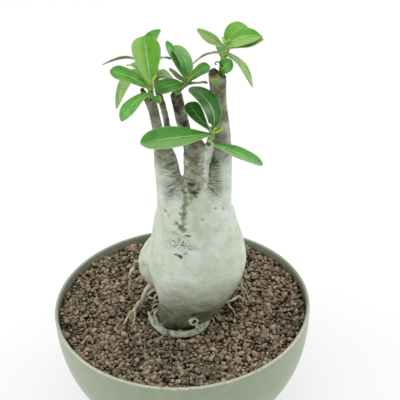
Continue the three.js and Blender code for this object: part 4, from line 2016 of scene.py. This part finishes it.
CAUDEX = (
    (52, 1, 11, -6, 10),
    (60, 1.5, 15, -6, 13),
    (68, 2.5, 17, -6.5, 15),
    (80, 6.6, 20.6, -7, 19.5),
    (95, 9.2, 26.4, -7, 25.5),
    (110, 10.2, 29.6, -7, 28),
    (122, 10.3, 28.4, -7, 26.5),
    (135, 10, 25.2, -7, 22),
    (147, 9.6, 22.6, -7.8, 18),
    (156, 9.4, 18.6, -8.4, 14.5),
    (163, 9.6, 13, -8.6, 10.5),
    (169, 9.8, 6.5, -8.6, 5.5),
)
REAR_LOBE = ((6, 0, 124, 8), (-8, 8, 108, 13), (-13, 8, 96, 13.2), (-6, 4, 84.5, 8.2), (2, -3, 72, 6))
LEFT_STEM = (
    (4, -8.5, 136, 13),
    (-1.8, -8.6, 150, 10.4),
    (-4.2, -8.2, 164, 7.8),
    (-6, -7.5, 182, 6.2),
    (-8.4, -8, 195, 3.5),
    (-10, -8, 206, 3),
    (-12, -8, 219, 2.7),
)
REAR_STEM = ((-5, -5, 182, 3.4), (-3.9, 0, 196, 2), (-5.6, 3, 208, 1.8), (-8.5, 5, 219, 1.7))
MIDDLE_STEM = ((9, -3, 140, 9), (9.6, 2, 158, 5.4), (9, 5, 176, 3.8), (5.4, 6, 194, 3.5), (1.9, 6, 215, 3.3))
FRONT_STEM = (
    (10, -9.5, 136, 14),
    (10, -11.5, 150, 11),
    (10, -12.8, 162, 7.6),
    (10.4, -13.8, 174, 6.4),
    (10.9, -14.7, 186, 6.7),
    (11.2, -15.2, 191.5, 6.6),
    (12.3, -15.6, 194.8, 5.2),
    (13.4, -15.8, 196.8, 2.6),
)
FRONT_BRANCHLET = (
    (13.4, -12.8, 158, 4),
    (14.4, -14.9, 171, 3.6),
    (15.2, -15.9, 179.5, 3.3),
    (16.9, -16.9, 187, 3.3),
    (18.6, -18.2, 193.8, 2.7),
    (19.8, -19, 199.4, 1.9),
)
KNOB = ((9.2, -17, 190.5, 1.9), (9.4, -17.4, 195.2, 1.7))
RIGHT_STEM = (
    (15, -7.5, 134, 13.5),
    (20, -8.2, 149, 11),
    (23, -7.4, 163, 8.6),
    (25.2, -7, 188, 6.4),
    (25.6, -7, 203, 4.8),
    (25, -7, 216, 4.2),
    (24.4, -7, 230.5, 4.9),
)
RIGHT_STUB = ((24.2, -7.2, 226, 3.2), (22.4, -9.3, 233.2, 2.7))
LEFT_STUB = ((-11, -7.5, 210, 2.0), (-15.9, -6, 222.6, 1.3))
STEMS = (
    Limb(LEFT_STEM, 1.0, 178, 0.17),
    Limb(REAR_STEM, 0.85, 170, 0.25),
    # The middle stem's dark is partly darker bark, partly painted shade under the leaves
    Limb(MIDDLE_STEM, 1.0, 168, 0.6),
    Limb(FRONT_STEM, 0.7, 162, 0.0),
    # No brown keeps the branchlet pale: partly its bark, partly a painted highlight on the lit ridge
    Limb(FRONT_BRANCHLET, 0.0, 172, dome=True),
    Limb(RIGHT_STEM, 1.0, 180, 0.2),
    Limb(RIGHT_STUB, 0.9, 170, 0.1),
    Limb(LEFT_STUB, 1.0, 170, 0.7),
    Limb(KNOB, 1.0, 170, 0.9, dome=True),
    Limb(((-3, -8, 84, 10.5), (-6, -11, 76, 9.6), (-6.4, -11.6, 68, 9.4), (-6.4, -11.6, 60, 8)), 0.0, 200),
)
GIRDLING_ROOT = (
    (-20.6, -9.6, 70.8, 1.0),
    (-19.4, -13.4, 70.4, 1.9),
    (-16.6, -19, 70, 2.3),
    (-12.4, -23.8, 69.5, 2.5),
    (-7.4, -26.6, 69.3, 2.2),
    (-3, -27.6, 69.3, 2.2),
    (3, -27.4, 69.3, 2.2),
    (9.5, -24.5, 69.5, 2.2),
    (14.6, -17.6, 70.1, 2.0),
    (14.5, -9, 73, 3),
)
CUT_ROOT = ((5.4, -20, 78, 3.4), (6.1, -26, 78.7, 2.8), (6.4, -29, 79.1, 2.6))
LEFT_ROOT = (
    (-14, 4, 88, 1.8),
    (-20, 2, 85, 1.6),
    (-25, 0, 76, 1.4),
    (-30.5, -4, 70.6, 1.2),
    (-33, -9, 66, 0.8),
)
LEFT_FINE_ROOT = (
    (-20, 9, 100, 1.4),
    (-28, 9, 99, 1.0),
    (-32, 9, 90, 0.9),
    (-33, 10, 78, 0.8),
    (-31, 12, 66, 0.7),
)
RIGHT_ROOT = ((17, -2, 78, 2.2), (28, -1, 71.4, 0.9), (36.3, 5, 70.6, 0.8), (39, 3, 66, 0.7))
RIGHT_FINE_ROOT = ((25, 10, 92, 1.4), (35, 13, 82, 0.8), (38.6, 12, 73, 0.7), (41, 6, 66, 0.7))
THICK_ROOTS = (Limb(GIRDLING_ROOT, 0.4, dark=0.04),)
THIN_ROOTS = (
    LEFT_ROOT,
    ((-18.8, -14, 70.6, 1.4), (-20.4, -12, 72.6, 1.0), (-21.2, -11.2, 75, 0.4)),
    ((-16.2, -15.6, 70.2, 1.2), (-17.2, -14.4, 73.4, 0.9), (-16.4, -13.4, 77, 0.4)),
    LEFT_FINE_ROOT,
    RIGHT_ROOT,
    RIGHT_FINE_ROOT,
    ((29, -1, 71.4, 0.7), (31, -5, 69, 0.6), (33, -9, 66, 0.5)),
    ((38.2, 11.5, 74, 0.6), (42, 6, 69.5, 0.5), (44, 2, 66.5, 0.4)),
    ((-31.5, -5, 70.5, 0.9), (-35, -9, 69, 0.7), (-38, -14, 67, 0.5)),
    ((-30.5, -4, 71, 0.8), (-30, -10, 69.5, 0.7), (-31, -15, 67, 0.5)),
    ((-13, 7, 76, 0.9), (-18, 6, 72, 0.7), (-21.2, 9.7, 70, 0.6), (-24, 8, 66.5, 0.4)),
    ((-17.5, 6.5, 72.4, 0.8), (-18.7, 3, 70, 0.7), (-19, -1, 66.5, 0.5)),
    ((-15, 9, 78, 1.1), (-19, 11, 74, 0.9), (-22, 14, 67, 0.6)),
    ((-19, 10.5, 74, 0.8), (-23, 10, 71, 0.7), (-26, 6, 67, 0.5)),
    ((7.8, -27, 76.6, 1.0), (8.9, -27.8, 73.8, 0.9), (9.8, -26.8, 70.8, 0.7)),
)

# The bark's scars and the shoots, in millimetres

SCARS = (
    Scar((-2.0, -29, 129.2), 2.5, 0.5, 0.6, 0.85, -4),
    Scar((-0.2, -29.6, 128.6), 1.7, 0.8, 0.7, 1.0, 4),
    Scar((3.2, -29.6, 130.6), 1.3, 0.35, 0.3, 0.6, -22),
    Scar((5, -26.6, 141), 2.2, 0.5, 0.4, 0.9, 5),
    Scar((1.7, -24.2, 145.4), 2.3, 2.2, 0.3, 0.25, 0, 0.95),
    Scar((4.4, -20, 161), 1.8, 5.4, 0.3, 0.1, 0, 0.9),
    Scar((3.6, -21.4, 155), 1.6, 6.0, 0.3, 0.12, 0, 0.95),
    Scar((2.8, -22.8, 149.6), 1.5, 5.0, 0.3, 0.12, 0, 0.95),
    Scar((6.6, -19.6, 163.5), 4.5, 2.6, 0.2, 0.06, 0, 0.75),
    Scar((9.9, -20, 165.2), 2.2, 1.9, 0.5, 1.0),
    Scar((8, -19.6, 170.6), 2.0, 1.6, 0.5, 1.0),
    Scar((6.9, -19.4, 167.4), 1.3, 0.8, 0.3, 0.65),
    Scar((12.4, -19.6, 167.4), 1.2, 1.0, 0.3, 0.65),
    Scar((4.8, -17.6, 168.2), 1.2, 1.0, 0.3, 0.65),
    Scar((4.2, -17.4, 164.4), 1.8, 0.7, 0.3, 0.6, 20),
    Scar((4.9, -17.2, 173), 1.2, 0.8, 0.3, 0.55),
    Scar((8.4, -19.6, 174.4), 1.1, 0.8, 0.3, 0.55),
    Scar((8.6, -20, 170), 5.5, 6.5, 0.1, 0.16, 0, 0.85),
    Scar((4.7, -14.6, 190.5), 1.5, 2.4, 0.3, 0.65, 0, 1.0),
    Scar((20, -15.3, 163.6), 2.2, 0.45, 0.4, 0.75, 38),
    Scar((22, -16.2, 161.6), 1.6, 0.35, 0.2, 0.5, 42),
    Scar((19.2, -14.2, 167.6), 2.2, 0.5, 0.3, 0.6, 20),
    Scar((22.5, -15.3, 169.4), 2.0, 0.35, 0.2, 0.55, 0),
    Scar((-2.9, -15.6, 165), 2.3, 0.45, 0.4, 0.75, -24),
    Scar((-5.8, -15.6, 163.7), 1.5, 0.35, 0.2, 0.5, -18),
    Scar((-3.2, -15.2, 168.4), 2.2, 0.5, 0.3, 0.6, -12),
    Scar((21.3, -13.1, 181), 2.4, 3.0, 0.2, 0.35, 0, 0.9),
    Scar((-9, -12.2, 184.5), 1.8, 3.0, 0.2, 0.25, 0, 0.9),
    Scar((-3.4, -14, 181), 2.6, 1.6, 0.2, 0.35, 0, 0.7),
    Scar((-7.5, -16.9, 152.8), 0.8, 0.6, 0.2, 0.6),
    Scar((-5.5, -19.5, 150.7), 0.6, 0.5, 0.2, 0.5),
    Scar((-1.1, -22.4, 148.1), 0.8, 0.6, 0.2, 0.6),
    Scar((21, -20.6, 154.7), 0.8, 0.5, 0.2, 0.65),
    Scar((25.7, -17.3, 152.8), 0.6, 0.6, 0.2, 0.5),
    Scar((13.8, -24.8, 150.3), 1.0, 0.4, 0.2, 0.35),
    Scar((6.6, -28.7, 134.4), 4.8, 1.8, 0.15, 0.1, 10, 0.35),
    Scar((-2, -26, 141.5), 3.4, 0.8, 0.1, 0.05, 6, 0.5),
    Scar((-11.9, -16.6, 83.1), 1.3, 1.5, 0.4, 0.7),
    Scar((6.7, -28.4, 83.9), 3.2, 2.0, 0.8, 0.95),
    Scar((21.2, -20.8, 198.2), 1.6, 1.3, 0.3, 0.95),
    Scar((17.9, -20.4, 196.6), 1.6, 1.4, 0.3, 0.95),
    Scar((19.6, -21, 200.6), 0.9, 0.9, 0.3, 0.8),
    Scar((-9.4, -28, 70.2), 1.6, 2.4, 0.4, 0.5, 20, 0.9),
    # A brown patch on the girdling root's left part: partly browner bark, partly painted shade
    Scar((-13.4, -25, 71), 3.4, 2.4, 0.1, 0.12, 0, 0.75),
    Scar((-17.6, -19.4, 72), 1.2, 1.0, 0.4, 0.7),
    Scar((-4.2, -29.4, 70.9), 1.5, 0.5, 0.3, 0.55, 8),
    Scar((3.4, -29.2, 70.2), 2.0, 0.5, 0.3, 0.5, -6),
    Scar((9.8, -26, 71.2), 0.7, 1.2, 0.3, 0.6, 20),
    Scar((12.4, -22.6, 71), 1.2, 0.6, 0.3, 0.5, -30),
    Scar((8.6, -20, 190.5), 5.5, 7.5, 0.1, 0.42, 0, 1.0),
    Scar((4.8, -17.2, 177), 1.7, 8.0, 0.1, 0.1, 0, 0.75),
    Scar((6.4, -18.6, 181.6), 1.6, 1.2, 0.3, 0.4, 0, 0.9),
    Scar((9.4, -20.2, 179.2), 1.9, 0.6, 0.2, 0.35, 6, 0.7),
    Scar((7.4, -19.6, 176.2), 1.2, 0.6, 0.2, 0.4, 0, 0.7),
    Scar((-10.1, -25.5, 122.7), 0.9, 5.0, 0.4, 0.1),
    Scar((-21.8, -0.1, 102.7), 2.2, 1.0, 0.3, 0.25),
)

SHOOT_SEED = 19
DRIED_STALK = (
    (26.5, -7.6, 236.6, 0.4),
    (25.6, -8.2, 238.9, 0.34),
    (24, -8.4, 239.4, 0.3),
    (23.1, -8.4, 238.5, 0.26),
    (24, -8.6, 237.7, 0.2),
)
SHOOTS = (
    Shoot("shoot_left", LEFT_STEM, (0.4, 0, 0), 1.9, (-11.4, -8, 228, 1.2), (
        Leaf(0.95, (-14.2, 10, 248.2), (0, -1, 1.5), 16, 0, LeafAge.FRESH, sheen=-0.6),
        Leaf(0.8, (-33, -6, 235.6), (0, 0, 1.6), 10, -25),
        Leaf(0.9, (-37.5, 3, 235.4), (5.7, 7.6, 5.8), 5, 34, LeafAge.GREY),
        Leaf(0.85, (-32, 6, 207), (0, 0, 14), 7.5, -70, LeafAge.PALE),
        Leaf(0.62, (-28, -22, 213.5), (0.5, 0, 3.4), 11.5, 5),
        Leaf(0.35, (-7.5, -14, 219), (1.5, 0, 1), 4, 40, LeafAge.GREEN, BladeForm.LANCE),
    )),
    Shoot("shoot_rear", REAR_STEM, (0, 0, 0), 1.5, (-9, 5, 227, 1.1), (
        Leaf(0.95, (-5, 22, 246.6), (-5.8, 0, 1.6), 8.2, 10, LeafAge.GREEN, fold=0.5),
        Leaf(0.8, (1, 17, 217), (0, 1, 3), 8, 35, LeafAge.PALE),
        Leaf(0.9, (0, 14.5, 232), (-2.5, 0, 5), 6, -22, LeafAge.PALE),
        Leaf(0.7, (-24, 22, 226), (0, 0, 4), 10, 0),
    )),
    Shoot("shoot_middle", MIDDLE_STEM, (0.6, 0, 0), 2.5, (9.4, 5.4, 222.5, 1.3), (
        Leaf(0.97, (-2, 13, 243.6), (-1, 0, 1), 6.6, -4, form=BladeForm.LANCE),
        Leaf(0.97, (1.2, 16, 239), (2, 0, 2), 11.5, 10, sheen=0.6),
        Leaf(0.92, (-1, -2, 234), (0, 0, -1), 6, 15, LeafAge.GREY, BladeForm.LANCE),
        Leaf(0.97, (21.4, 9, 229), (0, 0, 1.5), 8, 25),
        Leaf(0.85, (-9, -1, 220.4), (0, 0, 1), 11.5, -20),
        Leaf(0.8, (19.5, 2, 222.5), (0, 0, 0.5), 5, -15, LeafAge.DARK),
        Leaf(0.85, (14, 24, 219), (0, 0, 4), 9, 0),
    )),
    Shoot("shoot_front", FRONT_BRANCHLET, (0, 0, 0), 1.8, (20.9, -20.4, 203.8, 1.2), (
        Leaf(0.7, (-18.6, -27, 202.5), (0, 0, 0.5), 15, -25, sheen=-1.0),
        Leaf(0.9, (8, -9, 216.5), (-1, 0, 0), 10.5, -10, LeafAge.DARK, BladeForm.SPOON),
        Leaf(0.95, (9.5, -5, 223.5), (4.6, -5, 4.2), 14, 5, LeafAge.DARK),
        Leaf(-0.7, (47.5, -25, 184.5), (0, -1, 1.5), 10.5, 8, sheen=0.7),
        Leaf(0.9, (26, -22.6, 206.4), (0.4, 0, 0.6), 5.5, 15, LeafAge.BUD, BladeForm.LANCE),
    )),
    Shoot("shoot_right", RIGHT_STEM, (2.5, 1.8, 0), 1.7, (29, -6.8, 248, 1.3), (
        Leaf(0.97, (14.8, 4, 253.6), (0, 0, -1.2), 7.6, -10, LeafAge.PALE, BladeForm.LANCE),
        Leaf(0.97, (44, 6, 249.4), (-1.2, 0, 4.4), 14, 20, LeafAge.FRESH, fold=0.1),
        Leaf(
            0.97, (48.6, -8, 252), (0, 0, 2.8), 12, 26, LeafAge.FRESH, BladeForm.POINTED, fold=0.1, sheen=1.0,
        ),
        Leaf(0.84, (11.7, -5, 237.4), (0, 0, 3), 4.5, 22, LeafAge.GREY),
        Leaf(0.86, (43.8, -4, 221.5), (0.8, 0, 3.2), 8, 25, LeafAge.PALE),
        Leaf(0.2, (32, -9, 240.5), (-1.5, -1, 0), 8.5, 75),
        Leaf(0.7, (30, 16, 236), (0, 0, 4), 10, 0),
        Leaf(0.95, (48.9, -9, 251.4), (0, -0.5, -0.2), 5.8, 22, LeafAge.PALE, BladeForm.LANCE, fold=0.1),
    ), twig=DRIED_STALK),
)


@dataclass
class Studio:
    """A pale floor, soft studio light and a camera at the photograph's viewing angle."""

    floor_side: float = 16.0
    floor: Colour = shade(162, 162, 162)
    glow: float = 0.56
    surround: float = 0.95
    distance: float = 0.6
    rim_height: float = 0.074
    elevation: float = 38.355
    pitch: float = 5.973
    turn: float = 1.356
    roll: float = -2.660
    focal_share: float = 945.54 / 400

    def build(self) -> None:
        """Makes the floor, the lights and the camera."""
        self._floor()
        self._lights()
        self._camera()

    def _floor(self) -> None:
        """Lays the floor under the bowl."""
        deselect_all()
        bpy.ops.mesh.primitive_plane_add(size=self.floor_side)
        edit_all()
        bpy.ops.mesh.subdivide(number_cuts=3)
        floor = finish_edit("studio_floor")
        material, shader, surface = new_material("studio_floor", self.floor)
        wire(shader, surface, Base_Color=self.floor, Roughness=0.9, Specular_IOR_Level=0.1)
        wire(shader, surface, Emission_Color=WHITE, Emission_Strength=self.glow)
        floor.data.materials.append(material)

    def _lights(self) -> None:
        """Hangs four soft lights and sets an even pale surround."""
        self._light("left", (-1.1, 0.05, 0.6), 0.9, 5.6)
        self._light("right", (1.1, 0.25, 0.7), 0.9, 5.4)
        self._light("top", (0.0, 0.35, 1.6), 1.2, 1.2)
        self._light("front", (-0.1, -1.2, 1.2), 1.0, 0.5)
        world = bpy.data.worlds.new("studio")
        world.use_nodes = True
        surround = world.node_tree.nodes["Background"]
        surround.inputs["Color"].default_value = WHITE
        surround.inputs["Strength"].default_value = self.surround
        bpy.context.scene.world = world
        bpy.context.scene.view_settings.view_transform = "Standard"

    @staticmethod
    def _light(name: str, place: Place, size: float, power: float) -> None:
        """Hangs one square light that faces the plant.

        Args:
            name: Its name.
            place: Where it hangs.
            size: Its side.
            power: Its power in watts.
        """
        light = bpy.data.lights.new(f"light_{name}", "AREA")
        light.size = size
        light.energy = power
        lamp = bpy.data.objects.new(f"light_{name}", light)
        lamp.location = place
        aim = Vector((0.0, 0.0, 0.12)) - Vector(place)
        lamp.rotation_euler = aim.to_track_quat("-Z", "Y").to_euler()
        bpy.context.collection.objects.link(lamp)

    def _camera(self) -> None:
        """Sets the camera, aimed off the rim's middle and rolled as the photograph is."""
        elevation, pitch, turn, roll = [
            math.radians(angle) for angle in (self.elevation, self.pitch, self.turn, self.roll)
        ]
        target = Vector((0.0, 0.0, self.rim_height))
        back = Vector((0.0, -math.cos(elevation), math.sin(elevation)))
        right = Vector((1.0, 0.0, 0.0))
        ahead = -back
        ahead = ahead * math.cos(pitch) + right.cross(ahead) * math.sin(pitch)
        up = right.cross(ahead)
        ahead = ahead * math.cos(turn) + right * math.sin(turn)
        right = ahead.cross(up).normalized()
        up = right.cross(ahead)
        rolled = right * math.cos(roll) + up * math.sin(roll)
        up = up * math.cos(roll) - right * math.sin(roll)
        camera = bpy.data.cameras.new("camera")
        camera.sensor_width = 36.0
        camera.lens = 36.0 * self.focal_share
        camera.clip_start = 0.01
        eye = bpy.data.objects.new("camera", camera)
        turned = Matrix((rolled, up, -ahead)).transposed()
        eye.matrix_world = Matrix.Translation(target + back * self.distance) @ turned.to_4x4()
        bpy.context.collection.objects.link(eye)
        bpy.context.scene.camera = eye


def main() -> None:
    """Builds the plant from the bowl up, then the studio, and reports each piece."""
    logging.basicConfig(level=logging.INFO, format="%(name)s: %(message)s")
    effects = Effects()
    bowl = Bowl(effects)
    bowl.build()
    trunk = Trunk(effects, CAUDEX, REAR_LOBE, STEMS, THICK_ROOTS, SCARS).build()
    bark = trunk.data.materials[0]
    FineRoots(effects, THIN_ROOTS).build()
    CutRoot(CUT_ROOT).build(bark)
    skin = BVHTree.FromObject(trunk, bpy.context.evaluated_depsgraph_get())
    GritBed(effects, bowl, skin).build()
    leaves = Leaves(effects)
    stalk = StalkFinish().material(effects)
    rng = Random(SHOOT_SEED)
    for shoot in SHOOTS:
        shoot.build(leaves, stalk, rng)
    leaves.put_away()
    paste = PasteFinish().material(effects)
    Paste("paste_right", RIGHT_STUB).build(paste)
    Paste("paste_left", LEFT_STUB).build(paste)
    Studio().build()


if __name__ == "__main__":
    main()
